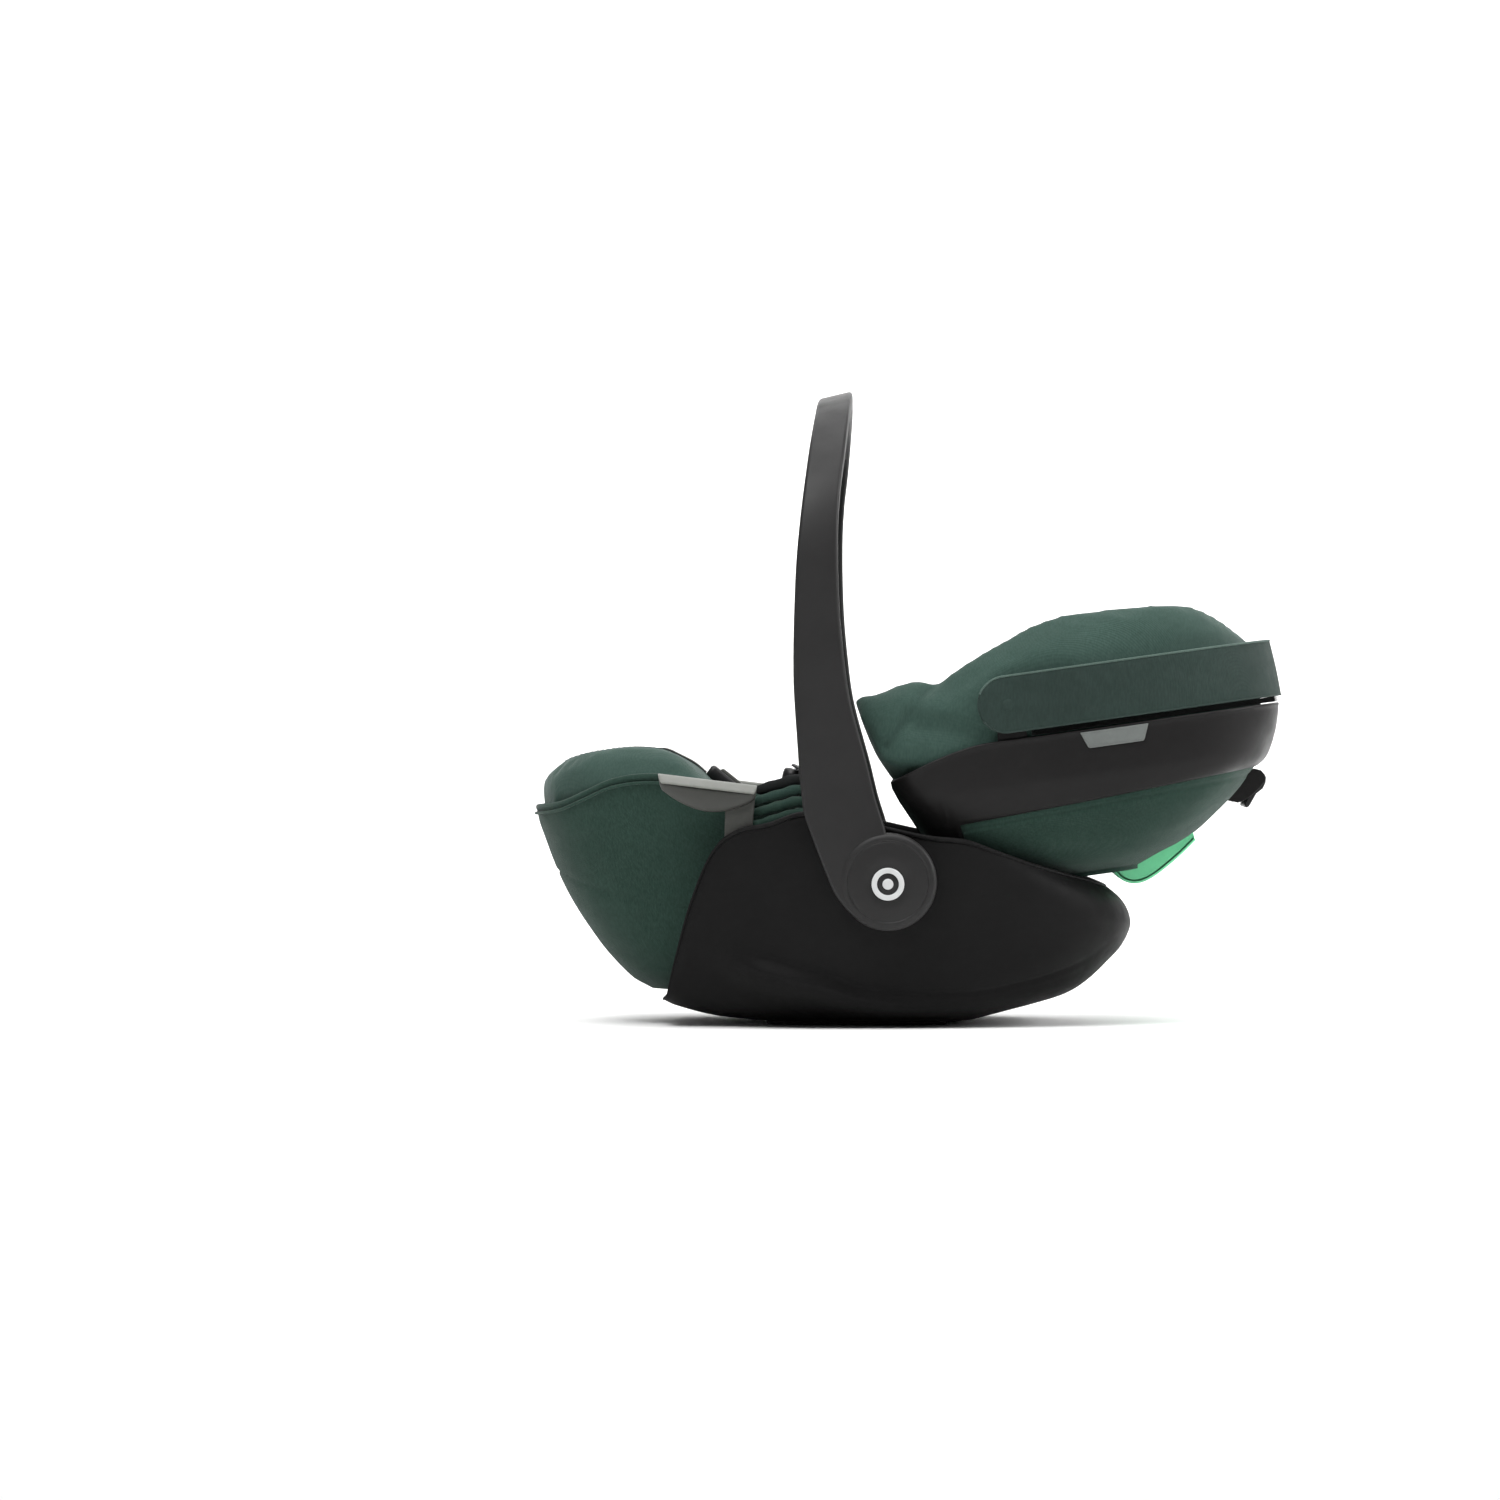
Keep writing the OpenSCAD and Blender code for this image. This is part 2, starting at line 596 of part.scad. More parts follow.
back_top = [[20, -36], [60, -26], [120, -16], [200, -4], [300, 8], [340, 16]];
back_half = [[40, 92], [60, 104], [220, 106], [290, 84], [330, 50]];
headrest_y = 22;
module back_pad() {
    color(dark_green) in_back() difference() {
        loft([for (k = [0 : 14])
            let (u = mix(60, 310, k / 14), w = curve(back_half, u), z = curve(back_top, u))
            [for (q = [[-1, 17], [-0.9, 22], [0.9, 22], [1, 17], [1, 8], [0.88, 2], [0.4, 0], [0, 0], [-0.4, 0],
                       [-0.88, 2], [-1, 8]])
                [u, w * q[0], z - q[1]]]]);
        for (s = [-1, 1]) translate([185, s * headrest_y, -10]) cube([96, 8, 90], center = true);
    }
}

module badge() {
    color(light_grey) in_back() slab(-180.4, -177) polygon([[188, 68], [252, 68], [245, 53], [195, 53]]);
}

// Guide for the diagonal belt, across the back of the belly
guide_line = [[207, -68], [211, -73.5], [219, -78], [229, -78.5], [241, -74.5], [253, -68], [269, -58], [284, -46]];
module rear_belt_guide() {
    color(signal_green) in_back() {
        slab(-66, 66) polygon(concat(guide_line, [for (q = reversed(guide_line)) q + [-1.5, 4]]));
        for (s = [-1, 1]) slab(s * 58, s * 66)
            polygon(concat([for (q = guide_line) q + [-1.5, 4]], [[282, -26], [262, -38], [232, -49], [205, -60]]));
    }
}

// Recline lever under the head end, on a bracket
lever_u = 355;
lever_w = 3;
module lever_bracket() {
    color(black) in_back() {
        for (s = [-1, 1]) slab(s * 41.5, s * 46) polygon([[332, -6], [332, 14], [350, 12], [360, 6], [358, -2], [344, -8]]);
        translate([lever_u, 0, lever_w]) axle(2.5, -43, 43);
    }
}

module recline_lever() {
    color(black) in_back() translate([lever_u, 0, lever_w]) difference() {
        union() {
            axle(4.5, -41, 41);
            slab(-41, 41) polygon([[-3, 2], [4, 1], [1, -12], [-6, -15], [-15, -27], [-20, -24], [-9, -9]]);
        }
        axle(2.5 + clear, -42, 42);
    }
}

// ---- canopy ----

canopy_u = 126;
canopy_w = 103;
band_w0 = 77;
band_front = 98;

module canopy_bracket() {
    color(black) in_back() {
        slab(-178.8, -175.4) polygon([[canopy_u - 14, 70], [canopy_u + 14, 70], [canopy_u + 9, 112], [canopy_u - 9, 112]]);
        translate([canopy_u, 0, canopy_w]) axle(4, -186, -171);
    }
}

// Half height of the band at distance d from its rounded front end
function band_half(d) = band_h / 2 * (d >= band_h / 2 ? 1 : sqrt(max(0.02, 1 - pow(1 - d / (band_h / 2), 2))));

module canopy_band() {
    steps = 46;
    rings = [for (i = [0 : steps])
        let (k = i / steps, t = 0.5 - 0.5 * sign(0.5 - k) * pow(abs(1 - 2 * k), 0.85),
             o = horseshoe(t, band_front, 170, 386, 188, 2.8),
             n = horseshoe(t, band_front, 170, 386 - band_t, 188 - band_t, 2.8),
             h = band_half(o[0] - band_front), z = band_w0 + band_h / 2,
             in = 4 * ease((o[0] - 300) / 80))
        [[o[0], o[1], z - h], [o[0] - in, o[1], z + h], [n[0] - in, n[1], z + h], [n[0], n[1], z - h]]];
    color(dark_green) in_back() difference() {
        loft(rings);
        for (s = [-1, 1]) translate([canopy_u, 0, canopy_w]) axle(4 + clear, s * 176, s * 192);
    }
}

module canopy_bow() {
    steps = 26;
    half = 173;
    function bow(t) = horseshoe(t, canopy_u + 5.5, 190, 370, half, 2.8);
    color(steel) in_back() {
        loft([for (i = [0 : steps])
            let (t = i / steps, o = bow(t), d = bow(min(1, t + 0.004)) - bow(max(0, t - 0.004)), n = [d[1], -d[0]] / norm(d))
            [for (a = [0 : 60 : 300]) [o[0] + 1.5 * sin(a) * n[0], o[1] + 1.5 * sin(a) * n[1], canopy_w + 1.5 * cos(a)]]]);
        for (s = [-1, 1]) translate([canopy_u, 0, canopy_w]) difference() {
            axle(7, s * (half - 2), s * (half + 2));
            axle(4 + clear, s * (half - 3), s * (half + 3));
        }
    }
}

module canopy_fabric() {
    steps = 30;
    color(dark_green) in_back() loft([for (i = [0 : steps])
        let (t = i / steps, o = horseshoe(t, canopy_u + 18, 190, 382, 185, 2.8),
             n = horseshoe(t, canopy_u + 18, 190, 377, 180.5, 2.8))
        [[o[0], o[1], 72.2], [o[0], o[1], 76.6], [n[0], n[1], 76.6], [n[0], n[1], 72.2]]]);
}

// ---- headrest ----

module headrest_rails() {
    color(steel) in_back() for (s = [-1, 1]) translate([176, s * headrest_y, -51]) difference() {
        cube([112, 24, 14], center = true);
        translate([0, 0, 0]) cube([114, 17, 7], center = true);
        translate([0, 0, 5]) cube([114, 8, 8], center = true);
    }
}

// Plate behind the headrest pad, with its runners
module headrest_shell() {
    color(black) in_back() {
        translate([178, 0, 10]) cube([110, 130, 4], center = true);
        for (s = [-1, 1]) translate([0, s * headrest_y, 0]) {
            translate([160, 0, -20]) cube([30, 6, 57], center = true);
            translate([160, 0, -51]) cube([40, 16, 6], center = true);
        }
    }
}

module headrest_pad() {
    rings = [for (i = [0 : 20])
        let (t = i / 20, o = horseshoe(t, 120, 170, 242, 90, 2.6), n = horseshoe(t, 120, 165, 212, 56, 2.4))
        [[o[0], o[1], 12.4], [o[0], o[1], 70], mix([o[0], o[1], 84], [n[0], n[1], 84], 0.3),
         mix([o[0], o[1], 82], [n[0], n[1], 82], 0.7), [n[0], n[1], 64], [n[0], n[1], 12.4]]];
    color(green) in_back() loft(rings);
}

module head_cushion() {
    color(green) in_back() translate([0, 0, 12.4]) linear_extrude(10) polygon([[124, -52], [124, 52], [186, 50], [204, 32],
                                                                              [204, -32], [186, -50]]);
}

// Shoulder strap and its pad, lying on the back pad
strap_us = [for (u = [44 : 12 : 128]) u];
function strap_y(u) = mix(64, 44, (u - 30) / 96);
module shoulder_strap() {
    color(black) in_back() ribbon([for (u = strap_us) [u, -strap_y(u), curve(back_top, u) + 1]], web_w, web_t);
}

module shoulder_pad() {
    color(green) in_back() ribbon([for (u = [50 : 9 : 113]) [u, -strap_y(u), curve(back_top, u) + 3.4]], 46, 9);
}

outer_shell();
rocker_sole();
sole_screws();
base_latch_bars();
handle_boss();  // handle_boss_left
right_hand() handle_boss();  // handle_boss_right
pivot_pin();  // pivot_pin_left
right_hand() pivot_pin();  // pivot_pin_right
lock_gear();  // lock_gear_left
right_hand() lock_gear();  // lock_gear_right
lap_belt_guide();  // lap_belt_guide_left
right_hand() lap_belt_guide();  // lap_belt_guide_right
slide_rail();  // slide_rail_left
right_hand() slide_rail();  // slide_rail_right
handle_frame();
handle_grip();
hub_cap();  // hub_cap_left
right_hand() hub_cap();  // hub_cap_right
hub_emblems();
release_button();  // release_button_left
right_hand() release_button();  // release_button_right
seat_pan();
seat_cover();
slide_shoes();
hinge_pins();
hinge_ears();
calf_pad();
seat_pad();
crotch_strap();
buckle_body();
buckle_button();
buckle_tongues();
adjuster_housing();
adjuster_button();
adjuster_strap();
hip_strap();  // hip_strap_left
right_hand() hip_strap();  // hip_strap_right
back_shell();
belly_cover();
hinge_lugs();
wing_bolster();
back_pad();
badge();  // badge_left
right_hand() badge();  // badge_right
rear_belt_guide();
lever_bracket();
recline_lever();
canopy_bracket();  // canopy_bracket_left
right_hand() canopy_bracket();  // canopy_bracket_right
headrest_rails();
shoulder_strap();  // shoulder_strap_left
right_hand() shoulder_strap();  // shoulder_strap_right
shoulder_pad();  // shoulder_pad_left
right_hand() shoulder_pad();  // shoulder_pad_right
headrest_shell();
headrest_pad();
head_cushion();
canopy_band();
canopy_bow();
canopy_fabric();
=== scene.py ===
"""Looks of the infant car seat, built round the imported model.

Shapes are in millimetres until a mesh is made of them. Lists of pairs are knots of a smooth curve.
"""
import math
import bmesh
import bpy
import numpy as np
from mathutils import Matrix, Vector
from mathutils.bvhtree import BVHTree


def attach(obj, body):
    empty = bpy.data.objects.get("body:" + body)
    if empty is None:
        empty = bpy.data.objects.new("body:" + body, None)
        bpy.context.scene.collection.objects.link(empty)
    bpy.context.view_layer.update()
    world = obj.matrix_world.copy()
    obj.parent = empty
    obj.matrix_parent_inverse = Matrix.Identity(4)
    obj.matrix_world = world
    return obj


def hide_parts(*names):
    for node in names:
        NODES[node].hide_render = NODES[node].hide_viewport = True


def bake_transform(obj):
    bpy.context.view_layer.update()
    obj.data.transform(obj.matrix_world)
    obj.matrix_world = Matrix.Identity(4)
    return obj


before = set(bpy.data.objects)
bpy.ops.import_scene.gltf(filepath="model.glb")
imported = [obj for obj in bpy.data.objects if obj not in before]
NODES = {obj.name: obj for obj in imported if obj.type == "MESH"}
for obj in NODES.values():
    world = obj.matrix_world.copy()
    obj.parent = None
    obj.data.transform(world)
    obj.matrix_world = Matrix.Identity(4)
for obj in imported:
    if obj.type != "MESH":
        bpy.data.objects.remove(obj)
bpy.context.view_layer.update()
scene = bpy.context.scene

# ---- curves


def curve(table, x):
    """Smooth curve through [x, value] knots, held at its ends."""
    t = np.array(table, float)
    xs, ys = t[:, 0], t[:, 1]
    k = np.arange(len(xs))
    lo, hi = np.maximum(k - 1, 0), np.minimum(k + 1, len(xs) - 1)
    m = (ys[hi] - ys[lo]) / (xs[hi] - xs[lo])
    x = np.clip(np.asarray(x, float), xs[0], xs[-1])
    i = np.clip(np.searchsorted(xs, x, side="right") - 1, 0, len(xs) - 2)
    d = xs[i + 1] - xs[i]
    s = (x - xs[i]) / d
    return (ys[i] * (2 * s**3 - 3 * s**2 + 1) + m[i] * d * (s**3 - 2 * s**2 + s)
            + ys[i + 1] * (3 * s**2 - 2 * s**3) + m[i + 1] * d * (s**3 - s**2))


def unit(v):
    return v / np.linalg.norm(v, axis=-1, keepdims=True)


def mix(a, b, t):
    return a + (b - a) * t


def ease(t):
    t = np.clip(t, 0, 1)
    return t * t * (3 - 2 * t)


def bump(x, mid, width):
    return np.exp(-((x - mid) / width) ** 2)


def spow(c, p):
    return np.sign(c) * np.abs(c) ** p


def turns(n, n0, n1):
    """cos and sin of n angles that lie evenly round an egg outline."""
    th = np.arange(n) * 2 * np.pi / n
    c, s = np.cos(th), np.sin(th)
    e = np.where(c > 0, n1, n0)
    r = (np.abs(c) ** e + np.abs(s) ** e) ** (-1 / e)
    return spow(r * c, e / 2), spow(r * s, e / 2)


def egg(cs, x0, xm, x1, w, n0, n1):
    c, s = cs
    n = np.where(c > 0, n1, n0)
    return xm + np.where(c > 0, x1 - xm, xm - x0) * spow(c, 2 / n), w * spow(s, 2 / n)


def egg_half(x, x0, xm, x1, w, n0, n1):
    n = np.where(x > xm, n1, n0)
    r = np.where(x > xm, (x - xm) / (x1 - xm), (xm - x) / (xm - x0))
    return w * np.maximum(0, 1 - np.abs(r) ** n) ** (1 / n)


def horseshoe(t, front, mid, head, half, n):
    """A U open at the front: 0 at the left end, 0.5 at the head, 1 at the right end."""
    t = np.asarray(t, float)
    k = np.where(t < 0.5, t, 1 - t)
    a = np.pi / 2 * np.clip((k - 0.22) / 0.28, 0, 1)
    x = np.where(k < 0.22, mix(front, mid, k / 0.22), mid + (head - mid) * np.sin(a) ** (2 / n))
    y = np.where(k < 0.22, half, half * np.maximum(0, np.cos(a)) ** (2 / n))
    return x, y * np.where(t < 0.5, -1, 1)


def even(f, n):
    """n parameters from 0 to 1 that lie evenly along f."""
    ts = np.linspace(0, 1, 4001)
    p = np.stack(f(ts), -1)
    d = np.concatenate([[0], np.cumsum(np.linalg.norm(np.diff(p, axis=0), axis=1))])
    return np.interp(np.linspace(0, d[-1], n), d, ts)


TILT = math.radians(8)


def back(u, w, y=0):
    """A point of the backrest's own frame, u along it and w out of it, in the row frame."""
    u, w, y = np.broadcast_arrays(np.asarray(u, float), np.asarray(w, float), np.asarray(y, float))
    return np.stack([u * math.cos(TILT) - w * math.sin(TILT), y, 180 + u * math.sin(TILT) + w * math.cos(TILT)], -1)


def wobble(p, size, seed):
    """Smooth made-up unevenness between about -1 and 1 at points p, size in millimetres."""
    g = np.random.RandomState(seed)
    out = 0
    for i in range(5):
        k = g.normal(size=3)
        k /= np.linalg.norm(k)
        out = out + np.sin(p @ k * 2 * np.pi / (size * (0.7 + 0.25 * i)) + g.uniform(0, 6.3))
    return out / 3

# ---- meshes


MERGE = 0.00001
BEVEL_ANGLE = math.radians(35)


def solid(name, verts, faces):
    me = bpy.data.meshes.new(name)
    me.from_pydata((np.asarray(verts, float) / 1000).tolist(), [], faces)
    o = bpy.data.objects.new(name, me)
    scene.collection.objects.link(o)
    tidy(o)
    me.polygons.foreach_set("use_smooth", [True] * len(me.polygons))
    return o


def tidy(o):
    """Merges doubled points and turns all faces outwards."""
    b = bmesh.new()
    b.from_mesh(o.data)
    bmesh.ops.remove_doubles(b, verts=b.verts, dist=MERGE)
    bmesh.ops.recalc_face_normals(b, faces=b.faces)
    b.to_mesh(o.data)
    b.free()
    o.data.update()
    return o


def loft(name, rings, close=True, caps=True, loop=False):
    """Surface through rings of points, each ring closed if close, the rings themselves a loop if loop."""
    r = np.array(rings, float)
    m, n = r.shape[:2]
    verts = [p for ring in r for p in ring]
    faces = []
    for k in range(m if loop else m - 1):
        for i in range(n if close else n - 1):
            j, q = (i + 1) % n, (k + 1) % m
            faces.append((k * n + i, q * n + i, q * n + j, k * n + j))
    if caps and close and not loop:
        for k, flip in ((0, 1), (m - 1, 0)):
            verts.append(r[k].mean(0))
            c = len(verts) - 1
            faces += [(c, k * n + (i + 1) % n, k * n + i) if flip else (c, k * n + i, k * n + (i + 1) % n)
                for i in range(n)]
    return solid(name, verts, faces)


def coords(o):
    a = np.zeros(len(o.data.vertices) * 3)
    o.data.vertices.foreach_get("co", a)
    return a.reshape(-1, 3) * 1000


def set_coords(o, p):
    o.data.vertices.foreach_set("co", (np.asarray(p) / 1000).ravel())
    o.data.update()


def normals(o):
    a = np.zeros(len(o.data.vertices) * 3)
    o.data.vertices.foreach_get("normal", a)
    return a.reshape(-1, 3)


def bake(o):
    """Applies the object's modifiers."""
    dep = bpy.context.evaluated_depsgraph_get()
    me = bpy.data.meshes.new_from_object(o.evaluated_get(dep))
    o.modifiers.clear()
    old, o.data = o.data, me
    bpy.data.meshes.remove(old)
    o.data.polygons.foreach_set("use_smooth", [True] * len(o.data.polygons))
    return o


def finer(o, levels=1):
    o.modifiers.new("finer", "SUBSURF").levels = levels
    return bake(o)


def soft_edges(o, width, segments):
    m = o.modifiers.new("edges", "BEVEL")
    m.width, m.segments, m.limit_method, m.angle_limit = width / 1000, segments, "ANGLE", BEVEL_ANGLE
    m.harden_normals = False
    bake(o)
    o.modifiers.new("flat", "WEIGHTED_NORMAL").keep_sharp = True
    return bake(o)


def joined(name, *objs):
    bpy.ops.object.select_all(action="DESELECT")
    for o in objs:
        o.select_set(True)
    bpy.context.view_layer.objects.active = objs[0]
    bpy.ops.object.join()
    objs[0].name = name
    return objs[0]


def mirrored(o, name):
    """A copy of o on the other side of the seat."""
    c = bpy.data.objects.new(name, o.data.copy())
    scene.collection.objects.link(c)
    set_coords(c, coords(o) * [1, -1, 1])
    c.data.flip_normals()
    return c


def slab(name, outline, y0, y1, edge=0.8, frame_of=None, segments=3):
    """An outline in side view, extruded from y0 to y1, with rounded edges."""
    p = np.array(outline, float)
    at = (lambda y: back(p[:, 0], p[:, 1], y)) if frame_of == "back" else (lambda y: np.stack([p[:, 0],
        0 * p[:, 0] + y, p[:, 1]], -1))
    n = len(p)
    v = np.concatenate([at(y0), at(y1)])
    f = [tuple(range(n)), tuple(range(2 * n - 1, n - 1, -1))] + [(i, n + i, n + (i + 1) % n, (i + 1) % n)
        for i in range(n)]
    return soft_edges(solid(name, v, f), edge, segments)


def lathe(name, profile, centre, n=96):
    """Turned piece about an axis along Y through centre. profile holds [radius, y]."""
    a = np.arange(n) * 2 * np.pi / n
    return loft(name, [np.stack([centre[0] + r * np.cos(a), np.full(n, float(y)), centre[1] + r * np.sin(a)], -1)
        for r, y in profile])


def tube(name, path, r, n=10, loop=False):
    """Round bead of radius r along a path."""
    p = np.array(path, float)
    d = (np.roll(p, -1, 0) - np.roll(p, 1, 0)) if loop else np.gradient(p, axis=0)
    d /= np.linalg.norm(d, axis=1)[:, None] + 1e-9
    side = np.cross(d, [0, 0, 1.0])
    weak = np.linalg.norm(side, axis=1) < 0.2
    side[weak] = np.cross(d[weak], [0, 1.0, 0])
    side = unit(side)
    up = np.cross(side, d)
    r = np.broadcast_to(np.asarray(r, float), (len(p),))
    a = np.arange(n) * 2 * np.pi / n
    rings = [p[i] + r[i] * (np.cos(a)[:, None] * side[i] + np.sin(a)[:, None] * up[i]) for i in range(len(p))]
    return loft(name, rings, loop=loop)


def spline(points, n):
    """n points along a smooth line through the given ones."""
    p = np.array(points, float)
    t = np.concatenate([[0], np.cumsum(np.linalg.norm(np.diff(p, axis=0), axis=1))])
    s = np.linspace(0, t[-1], n)
    return np.stack([curve(np.stack([t, p[:, k]], 1), s) for k in range(p.shape[1])], -1)


def strap(name, path, width, thick, side=(0, 1, 0)):
    """Webbing along a path: rounded selvedges and a slightly hollow middle."""
    p = np.array(path, float)
    d = unit(np.gradient(p, axis=0))
    s = np.broadcast_to(np.asarray(side, float), p.shape)
    s = unit(s - (s * d).sum(1)[:, None] * d)
    up = np.cross(d, s)
    w, h = width / 2, thick / 2
    edge = [[0.3, h * 0.8], [1.2, h * 1.15], [2.6, h]]
    half = [[-w, 0], *([d - w, k] for d, k in edge), [0, h * 0.85], *([w - d, k] for d, k in edge[::-1])]
    sec = half + [[-a, -b] for a, b in half]
    return loft(name, [[p[i] + a * s[i] + b * up[i] for a, b in sec] for i in range(len(p))])


PUFF_FRAMES = 20
PUFF_PRESSURE = 4


def puff(o, voxel, cap, smooth=1):
    """Remeshes a pad, blows it up a little as cloth and keeps the result."""
    m = o.modifiers.new("remesh", "REMESH")
    m.mode, m.voxel_size = "VOXEL", voxel / 1000
    bake(o)
    rest = coords(o)
    m = o.modifiers.new("cloth", "CLOTH")
    s = m.settings
    s.quality, s.mass, s.use_pressure, s.uniform_pressure_force = 5, 0.3, True, PUFF_PRESSURE
    s.tension_stiffness = s.compression_stiffness = 12
    s.bending_stiffness = 0.6
    s.effector_weights.gravity = 0
    m.point_cache.frame_start, m.point_cache.frame_end = 1, PUFF_FRAMES
    for f in range(1, PUFF_FRAMES + 1):
        scene.frame_set(f)
    dep = bpy.context.evaluated_depsgraph_get()
    me = o.evaluated_get(dep).to_mesh()
    a = np.zeros(len(me.vertices) * 3)
    me.vertices.foreach_get("co", a)
    new = a.reshape(-1, 3) * 1000
    o.modifiers.clear()
    scene.frame_set(1)
    move = new - rest
    size = np.linalg.norm(move, axis=1)[:, None] + 1e-9
    set_coords(o, rest + move * np.minimum(1, cap / size))
    m = o.modifiers.new("ease", "SMOOTH")
    m.factor, m.iterations = 0.5, smooth
    bake(o)
    return finer(o)


def groove(o, line, depth, width):
    """Presses a sewn channel into a piece along a line of points."""
    p, nrm = coords(o), normals(o)
    best = np.full(len(p), 1e9)
    q = np.array(line, float)
    for a, b in zip(q[:-1], q[1:]):
        ab = b - a
        t = np.clip(((p - a) @ ab) / (ab @ ab + 1e-9), 0, 1)
        best = np.minimum(best, np.linalg.norm(p - a - t[:, None] * ab, axis=1))
    set_coords(o, p - nrm * (depth * np.exp(-(best / width) ** 2))[:, None])


def on_surface(o, points, lift):
    """Points dropped onto a piece from above, and raised by lift."""
    tree = BVHTree.FromPolygons([v.co for v in o.data.vertices], [p.vertices for p in o.data.polygons])
    hits = [tree.ray_cast(Vector(p) / 1000 + Vector((0, 0, 0.3)), (0, 0, -1))[0] for p in points]
    return np.array([np.array(h) * 1000 + [0, 0, lift] for h in hits if h is not None])


STITCH, STITCH_GAP, THREAD = 3.2, 2.0, 0.45


def stitches(name, path):
    """A row of thread stitches along a path."""
    p = np.array(path, float)
    t = np.concatenate([[0], np.cumsum(np.linalg.norm(np.diff(p, axis=0), axis=1))])
    verts, faces = [], []
    for s in np.arange(1, t[-1] - STITCH, STITCH + STITCH_GAP):
        a, b = (np.array([np.interp(x, t, p[:, k]) for k in range(3)]) for x in (s, s + STITCH))
        d = (b - a) / (np.linalg.norm(b - a) + 1e-9)
        e = np.cross(d, [0.3, 0.5, 0.8])
        e /= np.linalg.norm(e)
        f = np.cross(d, e)
        base = len(verts)
        for c, k in ((a, 0.35), (a + d * STITCH * 0.25, 1), (b - d * STITCH * 0.25, 1), (b, 0.35)):
            verts += [c + THREAD * k * (math.cos(x) * e + math.sin(x) * f) for x in (0, 1.257, 2.513, 3.77, 5.027)]
        for k in range(3):
            faces += [(base + k * 5 + i, base + (k + 1) * 5 + i, base + (k + 1) * 5 + (i + 1) % 5,
                base + k * 5 + (i + 1) % 5) for i in range(5)]
        faces += [tuple(base + i for i in range(5)), tuple(base + 15 + i for i in range(5))]
    return solid(name, verts, faces)

# ---- materials


class Nodes:
    """Short way to write a material's nodes."""

    def __init__(self, name):
        self.m = bpy.data.materials.new(name)
        self.m.use_nodes = True
        self.t = self.m.node_tree
        self.bsdf = next(n for n in self.t.nodes if n.type == "BSDF_PRINCIPLED")
        self.pos = self.t.nodes.new("ShaderNodeTexCoord").outputs["Object"]

    def node(self, kind, **values):
        n = self.t.nodes.new("ShaderNode" + kind)
        for k, v in values.items():
            if hasattr(n, k) and k not in n.inputs:
                setattr(n, k, v)
            else:
                self.put(n.inputs[k], v)
        return n

    def put(self, socket, v):
        if isinstance(v, bpy.types.NodeSocket):
            self.t.links.new(v, socket)
        else:
            socket.default_value = (*v, 1) if isinstance(v, tuple) and len(v) == 3 else v

    def noise(self, scale, detail, rough=0.5, stretch=None):
        at = self.stretched(stretch) if stretch else self.pos
        return self.node("TexNoise", Scale=scale, Detail=detail, Roughness=rough, Vector=at).outputs["Fac"]

    def stretched(self, by):
        n = self.node("Mapping", Vector=self.pos)
        n.inputs["Scale"].default_value = by
        return n.outputs["Vector"]

    def math(self, op, a, b, clamp=False):
        n = self.t.nodes.new("ShaderNodeMath")
        n.operation, n.use_clamp = op, clamp
        self.put(n.inputs[0], a)
        self.put(n.inputs[1], b)
        return n.outputs[0]

    def span(self, fac, a0, a1, b0, b1):
        limits = {"From Min": a0, "From Max": a1, "To Min": b0, "To Max": b1}
        return self.node("MapRange", Value=fac, **limits).outputs["Result"]

    def blend(self, fac, a, b):
        n = self.t.nodes.new("ShaderNodeMix")
        n.data_type = "RGBA"
        self.put(n.inputs[0], fac)
        self.put(n.inputs[6], (*a, 1) if isinstance(a, tuple) else a)
        self.put(n.inputs[7], (*b, 1) if isinstance(b, tuple) else b)
        return n.outputs[2]

    def waves(self, scale, axis, distort):
        more = {"Detail Scale": 0.5}
        n = self.node("TexWave", bands_direction=axis, Scale=scale, Distortion=distort, Detail=1, Vector=self.pos,
            **more)
        return n.outputs["Fac"]

    def raised(self, height, strength, distance):
        n = self.node("Bump", Strength=strength, Distance=distance, Height=height)
        normal = self.bsdf.inputs["Normal"]
        if normal.is_linked:
            self.put(n.inputs["Normal"], normal.links[0].from_socket)
        self.put(normal, n.outputs["Normal"])

    def edges(self, low, high):
        """Convex edges for high above low, hollows for high below low."""
        return self.span(self.node("NewGeometry").outputs["Pointiness"], low, high, 0, 1)

    def done(self, color, rough, **more):
        self.put(self.bsdf.inputs["Base Color"], color)
        self.put(self.bsdf.inputs["Roughness"], rough)
        for k, v in more.items():
            self.put(self.bsdf.inputs[k.replace("_", " ")], v)
        return self.m


def shade(color, k, add=0.0):
    return tuple(min(1, v * k + add) for v in color)


def plastic(name, color, rough, grain, spec):
    """Moulded plastic: fine spark-eroded grain, uneven gloss, edges worn a little lighter, painted shade in the
    hollows.
    """
    n = Nodes(name)
    c = n.blend(n.span(n.noise(9, 3), 0.3, 0.7, 0, 1), color, shade(color, 0.82))
    c = n.blend(n.math("MULTIPLY", n.edges(0.515, 0.6), n.span(n.noise(160, 3), 0.4, 0.7, 0.1, 0.5)), c,
        shade(color, 1.6, 0.008))
    # painted shade: hollows (low pointiness) darkened to 0.6 of the colour
    c = n.blend(n.math("MULTIPLY", n.edges(0.49, 0.44), 0.35, True), c, shade(color, 0.6))
    r = n.span(n.noise(38, 4, 0.6), 0.3, 0.7, rough - 0.06, rough + 0.07)
    n.raised(n.noise(1500, 2), grain, 0.0004)
    n.raised(n.noise(420, 3), grain * 0.5, 0.0003)
    return n.done(c, r, Specular_IOR_Level=spec)


